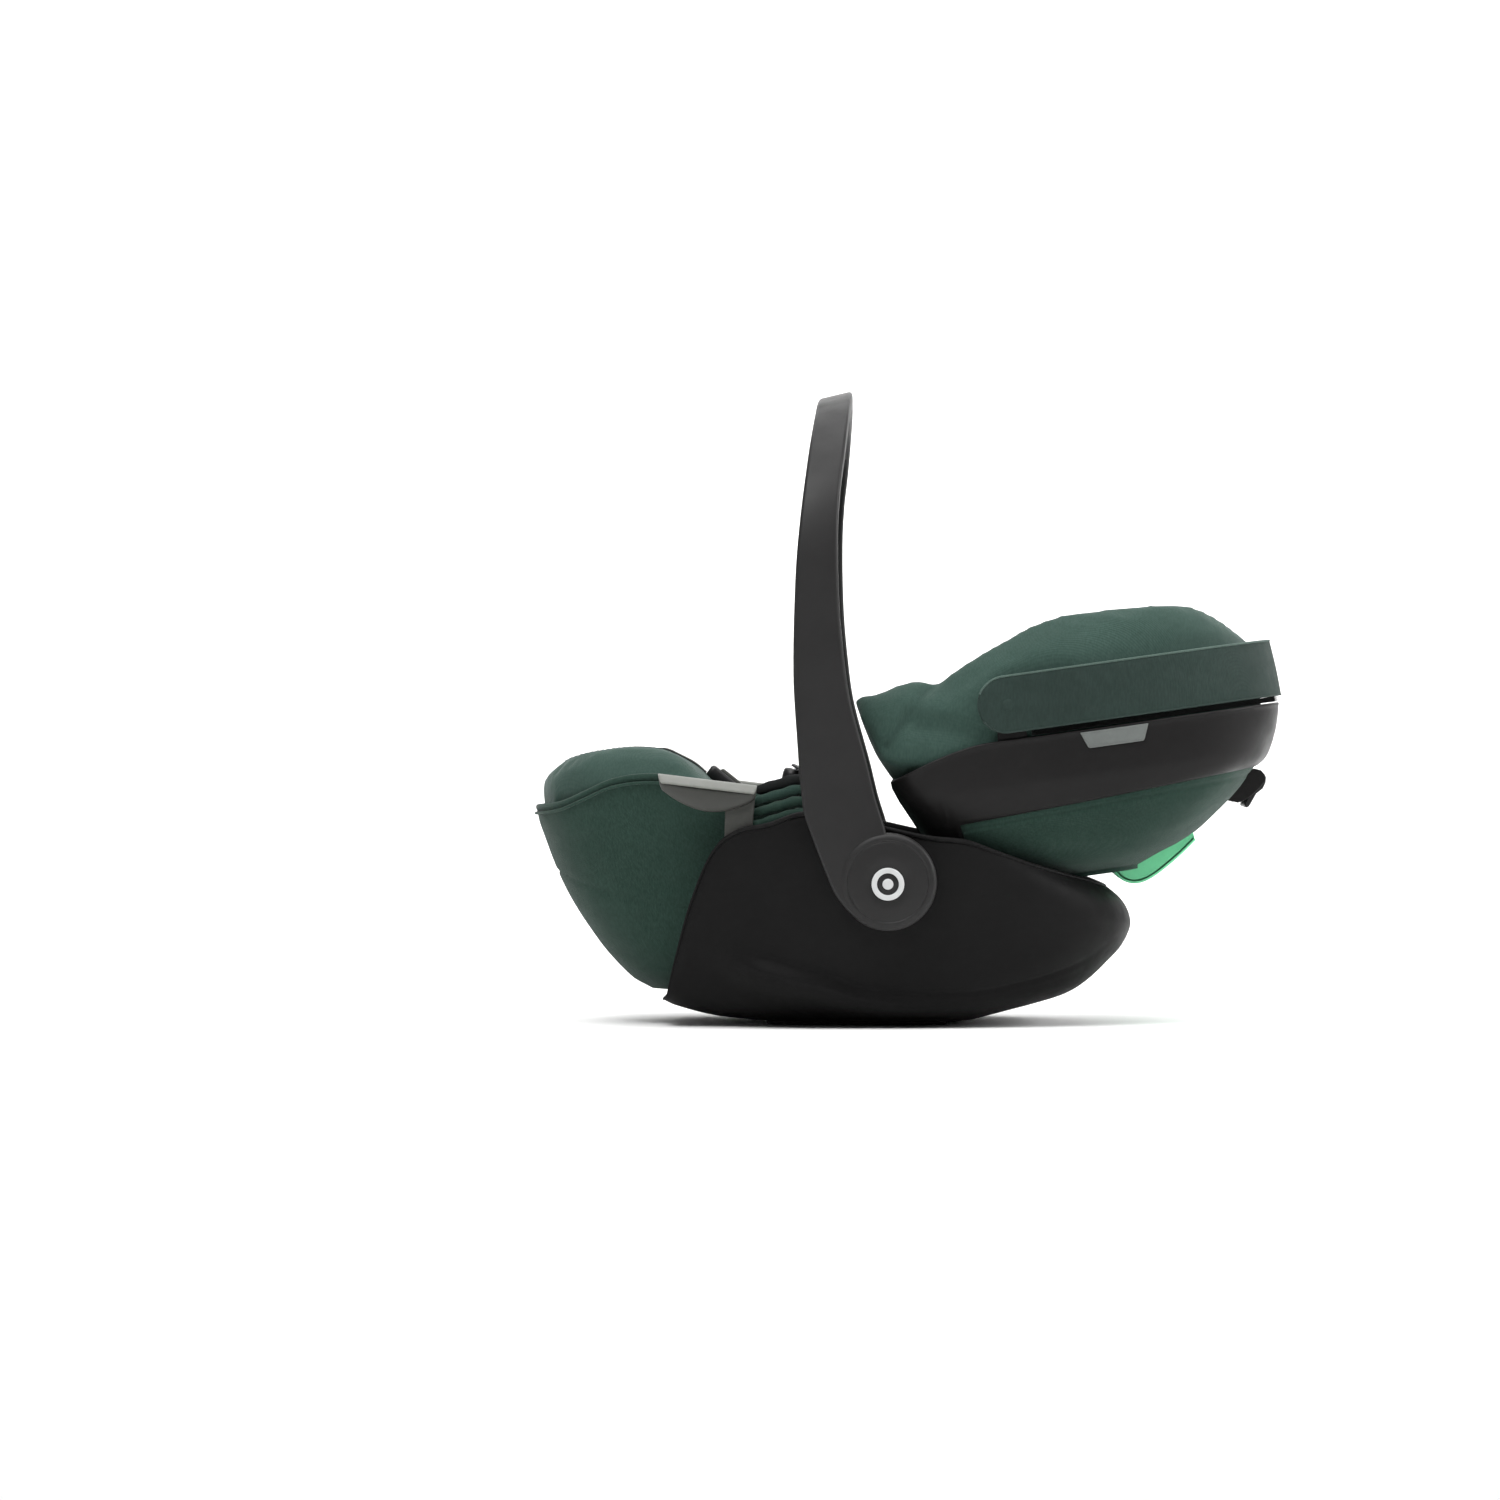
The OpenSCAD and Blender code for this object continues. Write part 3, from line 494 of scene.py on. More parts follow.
def fabric(name, color, second, pitch, sheen, rough=0.85, soft=0.3):
    """Woven melange cloth: crossing yarns, two-tone yarn colour, broad shading from handling, painted shade in the
    creases, painted highlight on the crests, and a soft sheen.
    """
    n = Nodes(name)
    weave = n.math("ADD", n.math("ADD", n.waves(pitch / 2.8, "X", 0.6), n.waves(pitch / 2.8, "Y", 0.6)),
        n.waves(pitch / 2.8, "Z", 0.6))
    yarn = n.noise(650, 3, 0.6, (1, 1, 0.25))
    c = n.blend(n.span(yarn, 0.35, 0.65, 0, 1), color, second)
    c = n.blend(n.span(n.noise(14, 3), 0.35, 0.7, 0, 0.35), c, shade(color, 0.72))
    c = n.blend(n.math("MULTIPLY", n.span(weave, 0.8, 2.2, 0.14, 0), 1.0, True), c, shade(color, 0.5))
    # painted shade: creases (low pointiness) darkened
    c = n.blend(n.math("MULTIPLY", n.edges(0.495, 0.43), 0.75, True), c, shade(color, 0.3))
    # painted highlight: crests (high pointiness) lightened
    c = n.blend(n.math("MULTIPLY", n.edges(0.51, 0.58), 0.35, True), c, shade(color, 1.5, 0.01))
    n.raised(n.noise(60, 3), soft, 0.0012)
    n.raised(weave, 0.35, 0.0003)
    n.raised(n.noise(1300, 2), 0.25, 0.0002)
    m = n.done(c, n.span(n.noise(90, 2), 0.3, 0.7, rough - 0.06, rough + 0.06), Sheen_Weight=sheen,
        Sheen_Roughness=0.45, Specular_IOR_Level=0.12)
    n.bsdf.inputs["Sheen Tint"].default_value = (*shade(second, 0.6, 0.35), 1)
    return m


def webbing(name, color, stripe):
    """Seat belt webbing: diagonal twill ribs across and an uneven two-tone yarn colour."""
    n = Nodes(name)
    ribs = n.node("TexWave", wave_type="BANDS", bands_direction="DIAGONAL", Scale=210.0, Distortion=0.3)
    n.t.links.new(n.pos, ribs.inputs["Vector"])
    c = n.blend(n.span(n.noise(900, 2, 0.5, (1, 0.3, 1)), 0.35, 0.65, 0, 1), color, stripe)
    c = n.blend(n.span(ribs.outputs["Fac"], 0, 1, 0.35, 0), c, shade(color, 0.5))
    n.raised(ribs.outputs["Fac"], 0.4, 0.0004)
    n.raised(n.noise(1100, 2), 0.2, 0.0002)
    return n.done(c, n.span(n.noise(80, 2), 0.3, 0.7, 0.55, 0.72), Sheen_Weight=0.15, Specular_IOR_Level=0.35)


def metal(name, color, rough=0.28):
    n = Nodes(name)
    streak = n.noise(300, 3, 0.6, (1, 0.05, 1))
    c = n.blend(n.span(streak, 0.3, 0.7, 0, 0.5), color, shade(color, 0.75))
    n.raised(streak, 0.15, 0.0002)
    return n.done(c, n.span(n.noise(70, 4), 0.3, 0.7, rough - 0.08, rough + 0.12), Metallic=1.0)


def rubber(name, color, ribs=False):
    n = Nodes(name)
    c = n.blend(n.span(n.noise(30, 3), 0.3, 0.7, 0, 1), color, shade(color, 1.35, 0.004))
    c = n.blend(n.math("MULTIPLY", n.edges(0.51, 0.58), 0.4, True), c, shade(color, 1.8, 0.01))
    if ribs:
        v = n.node("TexVoronoi", Scale=190.0)
        n.t.links.new(n.pos, v.inputs["Vector"])
        n.raised(v.outputs["Distance"], 0.5, 0.001)
    n.raised(n.noise(700, 3), 0.25, 0.0004)
    return n.done(c, n.span(n.noise(60, 2), 0.3, 0.7, 0.68, 0.85), Specular_IOR_Level=0.3)


M = {
    "shell": plastic("shell_plastic", (0.0078, 0.0077, 0.0078), 0.5, 0.10, 0.05),
    "panel": plastic("panel_plastic", (0.0088, 0.0084, 0.0085), 0.42, 0.10, 0.12),
    "handle": plastic("handle_plastic", (0.0135, 0.0132, 0.0134), 0.46, 0.12, 0.2),
    "grey": plastic("grey_plastic", (0.035, 0.036, 0.032), 0.46, 0.12, 0.3),
    # painted light: a pale copy of the grey plastic, used only on the lap guides' rims to stand for light on their
    # tops
    "guide_rim_painted_lit": plastic("guide_rim_painted_lit_plastic", (0.16, 0.165, 0.15), 0.45, 0.1, 0.35),
    "trim": plastic("trim_plastic", (0.009, 0.009, 0.0095), 0.4, 0.08, 0.3),
    "signal": plastic("signal_plastic", (0.135, 0.58, 0.29), 0.42, 0.1, 0.4),
    "red": plastic("red_plastic", (0.5, 0.02, 0.015), 0.35, 0.05, 0.5),
    "emblem": plastic("emblem_paint", (0.50, 0.51, 0.51), 0.35, 0.03, 0.4),
    "badge": plastic("badge_paint", (0.105, 0.115, 0.11), 0.38, 0.05, 0.4),
    "grip": rubber("grip_rubber", (0.007, 0.007, 0.0075)),
    "sole": rubber("sole_rubber", (0.010, 0.010, 0.010), True),
    "steel": metal("steel", (0.62, 0.63, 0.65)),
    "dark_steel": metal("dark_steel", (0.2, 0.2, 0.21), 0.4),
    "green": fabric("green_fabric", (0.0130, 0.031, 0.0232), (0.0195, 0.042, 0.0325), 900, 0.28),
    # painted light: the green cloth again at about twice the brightness, for the wings and calf pad whose tops face
    # the lamps
    "wing": fabric("green_fabric_painted_lit", (0.0285, 0.057, 0.0462), (0.038, 0.071, 0.059), 900, 0.42),
    "liner": fabric("liner_fabric", (0.0165, 0.036, 0.0285), (0.023, 0.048, 0.039), 1100, 0.28, 0.88, 0.4),
    "canopy": fabric("canopy_fabric_dark", (0.0165, 0.0285, 0.0245), (0.021, 0.036, 0.031), 1200, 0.12, 0.75, 0.06),
    # painted highlight: a cloth about three times lighter than the canopy, used only for the bead along the band's
    # top edge
    "piping": fabric("band_edge_painted_highlight", (0.05, 0.08, 0.068), (0.07, 0.105, 0.09), 1400, 0.25, 0.7, 0.05),
    "black_cloth": fabric("lining_cloth", (0.006, 0.007, 0.007), (0.009, 0.011, 0.0105), 1300, 0.08, 0.85, 0.2),
    "webbing": webbing("webbing", (0.013, 0.013, 0.0135), (0.024, 0.024, 0.025)),
    "thread": fabric("thread", (0.03, 0.05, 0.042), (0.045, 0.07, 0.06), 2200, 0.2, 0.7, 0.05),
}


def give(o, body, slot, mat, *nodes, fill=None):
    """Rides o on a body, gives it its finish, and lets it stand for CAD nodes."""
    o.data.materials.clear()
    o.data.materials.append(M[mat])
    if body:
        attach(o, body)
    if nodes:
        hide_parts(*nodes)
    return o


def pair(o, name, body, slot, mat, node, fill=None):
    """Uses o on the left and its mirror image on the right. {} in a body or node stands for the side."""
    other = mirrored(o, name + "_right")
    o.name = name + "_left"
    for x, side in ((o, "left"), (other, "right")):
        give(x, body.format(side), slot, mat, *([node.format(side)] if node else []), fill=fill)

# ---- outer shell


PIVOT = 137
SHELL_MID, SHELL_HALF, SHELL_WALL = -20, 197, 4
RIM = [[-215, 24], [-208, 27], [-200, 56], [-182, 118], [-162, 165], [-140, 184], [-110, 191], [-80, 201],
    [-45, 198], [0, 187], [38, 179], [73, 175], [98, 166], [128, 155], [160, 145], [185, 138], [204, 131]]
FOOT = [[0, -130], [0.2, -162], [0.7, -200], [1, -213]]
HEAD = [[0, 75], [0.06, 100], [0.11, 124], [0.18, 153], [0.31, 186], [0.43, 206], [0.57, 222], [0.69, 229],
    [0.8, 227], [0.9, 219], [1, 204]]
SIDE = [[0, -92], [0.05, -60], [0.1, -44], [0.2, -28], [0.35, -16], [0.5, -9], [0.7, -3], [0.85, 0], [1, 0]]
CREASE = [[-200, 112], [-173, 92], [-140, 76], [-100, 62], [-55, 49], [-31, 40], [0, 34], [39, 31], [69, 31.5],
    [98, 35], [129, 42], [149, 47.5], [168, 54], [188, 64], [215, 84]]


def shell_ring(cs, v, inset):
    n0, n1 = mix(3.4, 4.2, v), mix(2.9, 2.5, v)
    x, y = egg(cs, curve(FOOT, v) + inset, SHELL_MID, curve(HEAD, v) - inset, SHELL_HALF + curve(SIDE, v) - inset,
        n0, n1)
    rim_x = egg(cs, curve(FOOT, 1), SHELL_MID, curve(HEAD, 1), SHELL_HALF, n0, n1)[0]
    return np.stack([x, y, mix(4 + inset, curve(RIM, rim_x), v)], -1)


def outward(ring):
    """Sideways unit normals of a ring of points."""
    d = np.roll(ring, -1, 0) - np.roll(ring, 1, 0)
    n = np.stack([d[:, 1], -d[:, 0], 0 * d[:, 0]], -1)
    return n / (np.linalg.norm(n, axis=1)[:, None] + 1e-9)


def make_shell():
    cs = turns(224, 4.2, 2.5)
    rings = []
    for v in np.concatenate([np.linspace(0, 0.24, 20)[:-1], np.linspace(0.24, 0.6, 34)[:-1],
        np.linspace(0.6, 0.985, 22)]):
        r = shell_ring(cs, v, 0)
        z, x = r[:, 2], r[:, 0]
        drop = curve(CREASE, x) - z
        # the skid under the crease stands proud: a sharp lit shoulder on top, soft below
        out = (1.4 * ease(drop / 2.5) + 11.5 * ease(drop / 16) - 1.2 * bump(drop, -1.2,
            1.6)) * (1 - ease((drop - 17) / 26)) * ease((x + 190) / 90) * (1 - 0.9 * ease((x - 150) / 60))
        r = r + outward(r) * out[:, None]
        rings.append(r)
    top = shell_ring(cs, 1, 0)
    o = outward(top)
    # rolled lip: a small bead outside, round on top
    for out, up in ((0.0, -4.6), (1.6, -3.6), (2.5, -2.0), (2.1, -0.7), (0.9, 0.1), (-1.4, 0.35), (-3.2, 0.0),
        (-3.9, -1.2)):
        rings.append(top + (o * out + [0, 0, up]) * (0.12 + 0.88 * ease((top[:, :1] + 210) / 30)))
    for v in np.concatenate([np.linspace(0.97, 0.3, 24), np.linspace(0.26, 0, 10)]):
        rings.append(shell_ring(cs, v, SHELL_WALL))
    return loft("rocker_shell", rings)


give(make_shell(), "base", "shell_plastic", "shell", "outer_shell")


def rounded_box(sx, sy, r, n=8):
    pts = []
    for cx, cy, a0 in ((1, 1, 0), (-1, 1, 90), (-1, -1, 180), (1, -1, 270)):
        for a in np.radians(np.linspace(a0, a0 + 90, n)):
            pts.append([cx * (sx - r) + r * math.cos(a), cy * (sy - r) + r * math.sin(a)])
    return np.array(pts)


def make_sole():
    """A rubber mat with a rounded edge and cut grooves."""
    rings = []
    for inset, z in ((3.5, 4.0), (0.4, 4.0), (0, 3.4), (0, 1.4), (0.5, 0.5), (1.6, 0.02), (9, 0.0), (9.6, 0.9),
        (12.2, 0.9), (12.8, 0.0), (22, 0.0), (22.6, 0.9), (25.2, 0.9), (25.8, 0.0)):
        p = rounded_box(85 - inset, 75 - inset, max(18 - inset, 3))
        rings.append(np.stack([p[:, 0] - 30, p[:, 1], np.full(len(p), z)], -1))
    return loft("sole_mat", rings)


give(make_sole(), "base", "sole_rubber", "sole", "rocker_sole")

# ---- lap belt guides


def guide_top(x):
    return 236 - 11 * (x + 212) / 91


def make_lap_guide():
    """A canoe-shaped hook: a bowl hanging under a thick rim, the rim coloured lighter than the bowl as painted
    light on its top.
    """
    rings, rims = [], []
    for t in np.concatenate([[0, 0.004, 0.015], np.linspace(0.035, 0.965, 44), [0.985, 0.996, 1]]):
        x, top = mix(-212, -121, t), guide_top(mix(-212, -121, t))
        tip = min(1.0, (min(t, 1 - t) / 0.035) ** 0.5 + 0.12)
        deep = (3 + 18 * max(0, math.sin(math.pi * t)) ** 0.8) * (0.25 + 0.75 * tip)
        h = 8.4 * tip
        sec = [[-177.2, top - h], [-177, top - 1.4 * tip], [-178, top - 0.2], [-184, top + 0.3 * tip],
            [-187.2, top - 0.07 * h], [-189.6, top - 0.28 * h], [-193.0, top - 0.76 * h], [-193.3, top - 0.88 * h],
            [-192.6, top - 0.98 * h], [-191.0, top - h]]
        rims.append([[x, y, z] for y, z in sec])
        top -= h
        rings.append([[x, y, z] for y, z in ([-190.6, top + 0.5], [-190.4, top - 0.12 * deep],
            [-190, top - 0.45 * deep], [-189, top - 0.75 * deep], [-187, top - 0.95 * deep], [-184.6, top - deep],
            [-182.6, top - 0.92 * deep], [-182, top - 0.7 * deep], [-181, top - 0.3 * deep], [-180, top + 0.5])])
    canoe = loft("canoe", rings)
    lug = slab("lug", [[-150, 160], [-129, 160], [-126, 178], [-122, 221], [-150, 224], [-151, 178]], -182.4, -177,
        1.2)
    return joined("lap_guide", canoe, lug), loft("guide_rim", rims)


bowl, rim = make_lap_guide()
pair(bowl, "lap_guide", "base", "grey_plastic", "grey", "lap_belt_guide_{}")
# the rim is coloured lighter than the bowl: painted light on its top; the bowl keeps the grey
pair(rim, "guide_rim", "base", "grey_plastic", "guide_rim_painted_lit", None)

# ---- handle

ARM_FOOT = [[96, -16], [104, -30], [116, -42], [128, -50], [142, -56], [181, -71], [204, -78], [274, -84],
    [330, -87], [418, -85], [468, -81], [518, -75], [590, -66]]
ARM_HEAD = [[96, 6], [150, 6], [187, -3], [213, -11], [246, -19], [306, -35], [349, -41], [398, -45], [458, -46],
    [498, -44], [532, -40], [590, -34]]


def arch(t):
    t = np.asarray(t, float)
    a = np.clip((t - 0.5) * np.pi, 0, np.pi / 2)
    low = t < 0.5
    return (np.where(low, -mix(212.5, 207.5, 2 * t), -207.5 * np.maximum(0, np.cos(a)) ** 0.8),
            np.where(low, mix(97, 392, 2 * t), 392 + 194.5 * np.sin(a) ** 0.8))


def slant(z, x):
    """The crossbar tips a little towards the foot end."""
    return 0.24 * (x - 4) * ease((z - 520) / 60)


def rounded_rect(hx, hy, r, n=6):
    return rounded_box(hx, hy, min(r, hx * 0.9, hy * 0.9), n)


def arm_at(t, inset):
    """The handle at part t of its arch: middle, outward direction, and its edges towards foot and head."""
    y, z = (float(v) for v in arch(t))
    a, b = arch(max(0, t - 0.006)), arch(min(1, t + 0.006))
    d = unit(np.array([b[0] - a[0], b[1] - a[1]]))
    return y, z, (-d[1], d[0]), float(curve(ARM_FOOT, z)) + inset, float(curve(ARM_HEAD, z)) - inset


def arm_rings(ts, thick, r, crown):
    half = []
    for t in ts:
        y, z, nrm, x0, x1 = arm_at(t, 0)
        half.append((y, z, nrm, (x0 + x1) / 2, (x1 - x0) / 2))
    rings = []
    for s in (1, -1):
        part = half if s == 1 else half[-2::-1]
        for y, z, nrm, xm, hx in part:
            sec = rounded_rect(hx, thick, r)
            q = sec[:, 1] + np.sign(sec[:, 1]) * crown * (1 - (sec[:, 0] / hx) ** 2)
            rings.append(np.stack([xm + sec[:, 0], s * (y + nrm[0] * q), z + nrm[1] * q + slant(z, sec[:, 0])], -1))
    return rings


def make_handle():
    ts = even(arch, 130)
    ts = ts[arch(ts)[1] > 101]
    arms = loft("arms", arm_rings(ts, 8.9, 3.6, 0.6))
    parts = [arms]
    for s in (-1, 1):
        parts.append(lathe("hub", [[r, s * y] for r, y in ((8, 202.2), (30, 202.2), (43.2, 202.2), (44.6, 203.0),
            (45, 204.4), (45, 216.0), (44.6, 218.3), (43.4, 220.2), (41.5, 221.4), (39.2, 221.9), (37.0, 222.0),
            (36.95, 221.6), (36, 221.4), (4, 221.4))], (0, PIVOT), 128))
    return joined("carry_handle", *parts)


give(make_handle(), "handle", "handle_plastic", "handle", "handle_frame")


def make_grip():
    """Soft overmoulded grip: a skin over the underside of the crossbar, with raised ribs across it."""
    rings, count = [], 190
    lo, hi = 17 / 22, 1.0
    ts = np.concatenate([np.linspace(lo, hi, count), np.linspace(hi, lo, count)[1:]])
    for i, t in enumerate(ts):
        s = 1 if i < count else -1
        y, z, nrm, x0, x1 = arm_at(t, 3.5)
        end = min(i, len(ts) - 1 - i) / 8
        swell = min(1, end) ** 0.5
        rib = 0.55 * (0.5 + 0.5 * math.cos(i * 2 * math.pi / 6)) if end > 1.4 else 0
        h, k = 9.2, (5.0 * swell + rib - 0.4)
        sec = [[x0, -h], [x0 + 0.3, -h - 0.5 * k], [x0 + 1.8, -h - 0.85 * k], [x0 + 4.5, -h - k],
            [(x0 + x1) / 2, -h - k - 0.3], [x1 - 4.5, -h - k], [x1 - 1.8, -h - 0.85 * k], [x1 - 0.3, -h - 0.5 * k],
            [x1, -h], [(x0 + x1) / 2, -h + 1]]
        rings.append([[x, s * (y + nrm[0] * q), z + nrm[1] * q + slant(z, x - (x0 + x1) / 2)] for x, q in sec])
    return loft("crossbar_grip", rings)


give(make_grip(), "handle", "grip_rubber", "grip", "handle_grip")

cap = lathe("hub_cap", [[r, -y] for r, y in ((36.88, 221.2), (36.9, 221.95), (36.7, 222.06), (35.2, 222.3),
    (26, 223.3), (16.4, 223.9), (15.9, 223.6), (9.4, 223.6), (8.9, 223.9), (0.8, 223.9))], (0, PIVOT), 128)
pair(cap, "hub_cap", "handle", "handle_plastic", "handle", "hub_cap_{}")
marks = []
for s in (-1, 1):
    marks.append(lathe("ring", [[r, s * y] for r, y in ((15, 223.5), (15, 224.3), (14.6, 224.75), (13.8, 224.8),
        (11.2, 224.8), (10.4, 224.75), (10, 224.3), (10, 223.5))], (0, PIVOT - 2), 96))
    marks.append(lathe("dot", [[r, s * y] for r, y in ((5, 223.5), (5, 224.2), (4.6, 224.6), (3.6, 224.8),
        (0.6, 224.8))], (0, PIVOT - 2), 64))
give(joined("hub_marks", *marks), "handle", "emblem_paint", "emblem", "hub_emblems")

button = lathe("thumb_button", [[r, -y] for r, y in ((8.8, 209.5), (8.9, 208.8), (8.9, 199.3), (8.5, 198.3),
    (7.6, 197.7), (5.0, 197.9), (3.5, 198.3), (0.5, 198.4))], (-54, 262), 64)
pair(button, "thumb_button", "release_{}", "grey_plastic", "grey", "release_button_{}")

# ---- seat part

PAN_RIM = [[-336, 203], [-306, 207], [-284, 216], [-257, 228], [-229, 233], [-200, 232], [-150, 222], [-120, 214],
    [-80, 198], [-50, 176], [-20, 142], [4, 128]]
PAN_MID, PAN_LOW, PAN_N = -60, 36, (2.7, 4)
PAN_FOOT = [[0, -222], [0.06, -240], [0.25, -270], [0.55, -303], [0.9, -327], [1, -331]]
PAN_HEAD = [[0, -62], [0.1, -45], [0.3, -25], [0.6, -8], [1, 4]]
PAN_SIDE = [[0, 92], [0.1, 114], [0.25, 125], [0.5, 133], [0.75, 147], [1, 163]]
SEAT_TOP = [[-336, 214], [-325, 232], [-300, 246], [-265, 254], [-228, 256], [-190, 247], [-150, 214], [-110, 176],
    [-70, 148], [-30, 134], [0, 130]]
SEAT_LOW = [[-322, 198], [-303, 166], [-270, 106], [-240, 70], [-200, 54], [-60, 54], [-20, 94], [0, 106]]


def pan_egg(cs, v, grow):
    return egg(cs, curve(PAN_FOOT, v) - grow, PAN_MID, curve(PAN_HEAD, v) + grow, curve(PAN_SIDE, v) + grow, *PAN_N)


def pan_ring(cs, v, grow):
    (x, y), (qx, qy) = pan_egg(cs, v, grow), pan_egg(cs, 1, 0)
    side = curve(PAN_RIM, qx)
    rim = np.where(qx < -30, side, mix(np.minimum(side, 104), side, ease((np.abs(qy) - 100) / 40)))
    return np.stack([x, y, mix(PAN_LOW - grow, rim, v)], -1)


def pan_half(x, z):
    v = np.clip((z - PAN_LOW) / (curve(PAN_RIM, x) - PAN_LOW), 0, 1)
    return egg_half(x, curve(PAN_FOOT, v), PAN_MID, curve(PAN_HEAD, v), curve(PAN_SIDE, v), *PAN_N)


def make_foot_cover():
    """Fabric over the seat pan: taut on the flanks with shallow drag folds, rolled over the rim."""
    cs = turns(240, *PAN_N)
    rings = []
    for v in np.concatenate([np.linspace(0, 0.2, 12)[:-1], np.linspace(0.2, 0.985, 50)]):
        r = pan_ring(cs, v, 3.6)
        o = outward(r)
        folds = 0.9 * wobble(r * [0.5, 0.5, 1.6], 120, 3) + 0.5 * wobble(r, 46, 4) * ease((0.5 - v) / 0.4)
        # the flank panel is sewn on along a line that dips towards the hip
        seam = 1.4 * bump(r[:, 2], curve([[-330, 150], [-250, 120], [-150, 108], [0, 98]], r[:, 0]), 1.6)
        rings.append(r + o * (folds * 0.7 - seam)[:, None])
    top = pan_ring(cs, 1, 2.4)
    o = outward(top)
    for out, up in ((1.7, -1.0), (1.9, 0.8), (1.3, 2.3), (0.0, 3.1), (-1.5, 3.2), (-3.0, 2.4), (-4.0, 0.8),
        (-4.3, -1.5)):
        rings.append(top + o * out + [0, 0, up])
    for v in np.linspace(0.97, 0.55, 8):
        rings.append(pan_ring(cs, v, -3.3))
    low = pan_ring(cs, 0, 3.6)
    closing = [low * [k, k, 1] + [x, 0, 0] for k, x in ((1, 0), (0.5, -71), (0.02, -139))]
    side, under = loft("foot_cover", rings, caps=False), loft("cover_floor", closing, caps=False)
    return tidy(joined("foot_cover", side, under))


give(make_foot_cover(), "carriage", "green_fabric", "green", "seat_cover", fill=0.9)
rim_line = pan_ring(turns(300, *PAN_N), 1, 4.0) + [0, 0, -5.5]
give(tube("rim_piping", rim_line, 1.5, 10, loop=True), "carriage", "green_fabric", "green")


def seat_height(x, f):
    """Top of the padding at x and part f of the way to the side: cushion, dent and raised edge."""
    mid, edge, t = curve(SEAT_TOP, x), curve(PAN_RIM, x) + 4, np.abs(f)
    return (mix(mid, edge, ease((t - 0.58) / 0.32)) - 14 * np.sin(np.pi * np.clip((t - 0.68) / 0.3, 0,
        1)) * ease((mid - edge + 8) / 12) - 5 * ease((t - 0.9) / 0.1))


def padding(name, x0, x1, steps, shrink):
    """Closed form of the padding that lies in the pan."""
    low_f = [0, 0.33, 0.66, 1]
    top_f = np.array([0.99, 0.92, 0.85, 0.78, 0.7, 0.62, 0.54, 0.45, 0.35, 0.25, 0.12, 0, -0.12, -0.25, -0.35,
        -0.45, -0.54, -0.62, -0.7, -0.78, -0.85, -0.92, -0.99])
    rings = []
    for x in np.linspace(x0, x1, steps):
        low, rim = float(curve(SEAT_LOW, x)), float(curve(PAN_RIM, x)) - 2
        low = max(low, min(rim - 46, float(curve(SEAT_TOP, x)) - 24))
        w = float(pan_half(x, rim)) - 3.5 - shrink
        sides = [[float(pan_half(x, mix(low, rim, f) - 7)) - 4 - shrink, mix(low, rim, f) + shrink * (1 - f)]
            for f in low_f]
        top = [[w * f, float(max(rim if abs(f) > 0.9 else 0, seat_height(x, f))) - shrink] for f in top_f]
        rings.append([[x, -a, b] for a, b in sides[::-1]] + [[x, a, b] for a, b in sides] + [[x, a, b] for a,
            b in top])
    return loft(name, rings)


calf = puff(padding("calf_rest", -330, -163, 44, 2.2), 4.5, 7)
for f in (-0.82, 0.82):
    xs = np.linspace(-312, -166, 40)
    groove(calf, [[x, f * (float(pan_half(x, float(curve(PAN_RIM, x)) - 2)) - 8), float(seat_height(x, 0.8))]
        for x in xs], 4.5, 5.0)
for y in (-30, 30):
    xs = np.linspace(-300, -170, 40)
    groove(calf, [[x, y, float(curve(SEAT_TOP, x))] for x in xs], 1.6, 3.0)
# the calf pad takes the lighter copy of the green cloth: painted light on its lit hump
give(calf, "carriage", "green_fabric", "wing", "calf_pad", fill=0.8)
liner = puff(padding("seat_liner", -161, -9, 44, 3.0), 4.5, 6)
for y in (-62, -22, 22, 62):
    xs = np.linspace(-150, -14, 36)
    groove(liner, [[x, y, float(curve(SEAT_TOP, x))] for x in xs], 2.2, 3.0)
give(liner, "carriage", "liner_fabric", "liner", "seat_pad", fill=0.7)
xs = np.linspace(-308, -170, 60)
for y in (-30, 30):
    line = on_surface(calf, [[x, y, 300] for x in xs], 0.0)
    give(stitches("calf_stitch_" + ("left" if y < 0 else "right"), line + [0, 0, 0.3]), "carriage", "green_fabric",
        "thread")
# raised tubes of the liner's edge, seen beside the hub between the guide and the handle
for i, (dy, dz, r, mat) in enumerate(((0, 0, 5.4, "green"), (5, 11, 5.0, "liner"), (-3, -11, 5.2, "green"),
    (12, 20, 6.0, "black_cloth"))):
    path = spline([[-138, 170 - dy, 197 + dz * 0.8], [-122, 171 - dy, 200 + dz], [-100, 171 - dy, 206 + dz],
        [-82, 170 - dy, 210 + dz], [-66, 167 - dy, 204 + dz], [-48, 162 - dy, 184 + dz * 0.6]], 50)
    t = np.linspace(0, 1, 50)
    roll = tube("edge_roll", path, r * (0.35 + 0.65 * np.sin(np.pi * np.clip(t, 0.04,
        0.96)) ** 0.5) * (1 + 0.06 * np.sin(t * 40 + i)), 14)
    a, b = roll, mirrored(roll, "edge_roll_%d_left" % i)
    a.name = "edge_roll_%d_right" % i
    for o in (a, b):
        give(o, "carriage", "liner_fabric", mat, fill=0.8)

# ---- harness


def tilted(degrees, x, z):
    """Places points given in a frame at x, z that is tipped towards the foot end."""
    c, s = math.cos(math.radians(degrees)), math.sin(math.radians(degrees))
    return lambda p: np.stack([x + p[:, 0] * c + p[:, 2] * s, p[:, 1], z - p[:, 0] * s + p[:, 2] * c], -1)


at_buckle, at_adjuster = tilted(14, -99, 201), tilted(38.7, -156, 223)


def block(name, at, sections, n=6):
    """Rounded block: sections are [z, half x, half y, corner radius, x offset] in a tilted frame."""
    rings = []
    for z, hx, hy, r, dx in sections:
        p = rounded_rect(hx, hy, r, n)
        rings.append(at(np.stack([p[:, 0] + dx, p[:, 1], np.full(len(p), float(z))], -1)))
    return loft(name, rings)


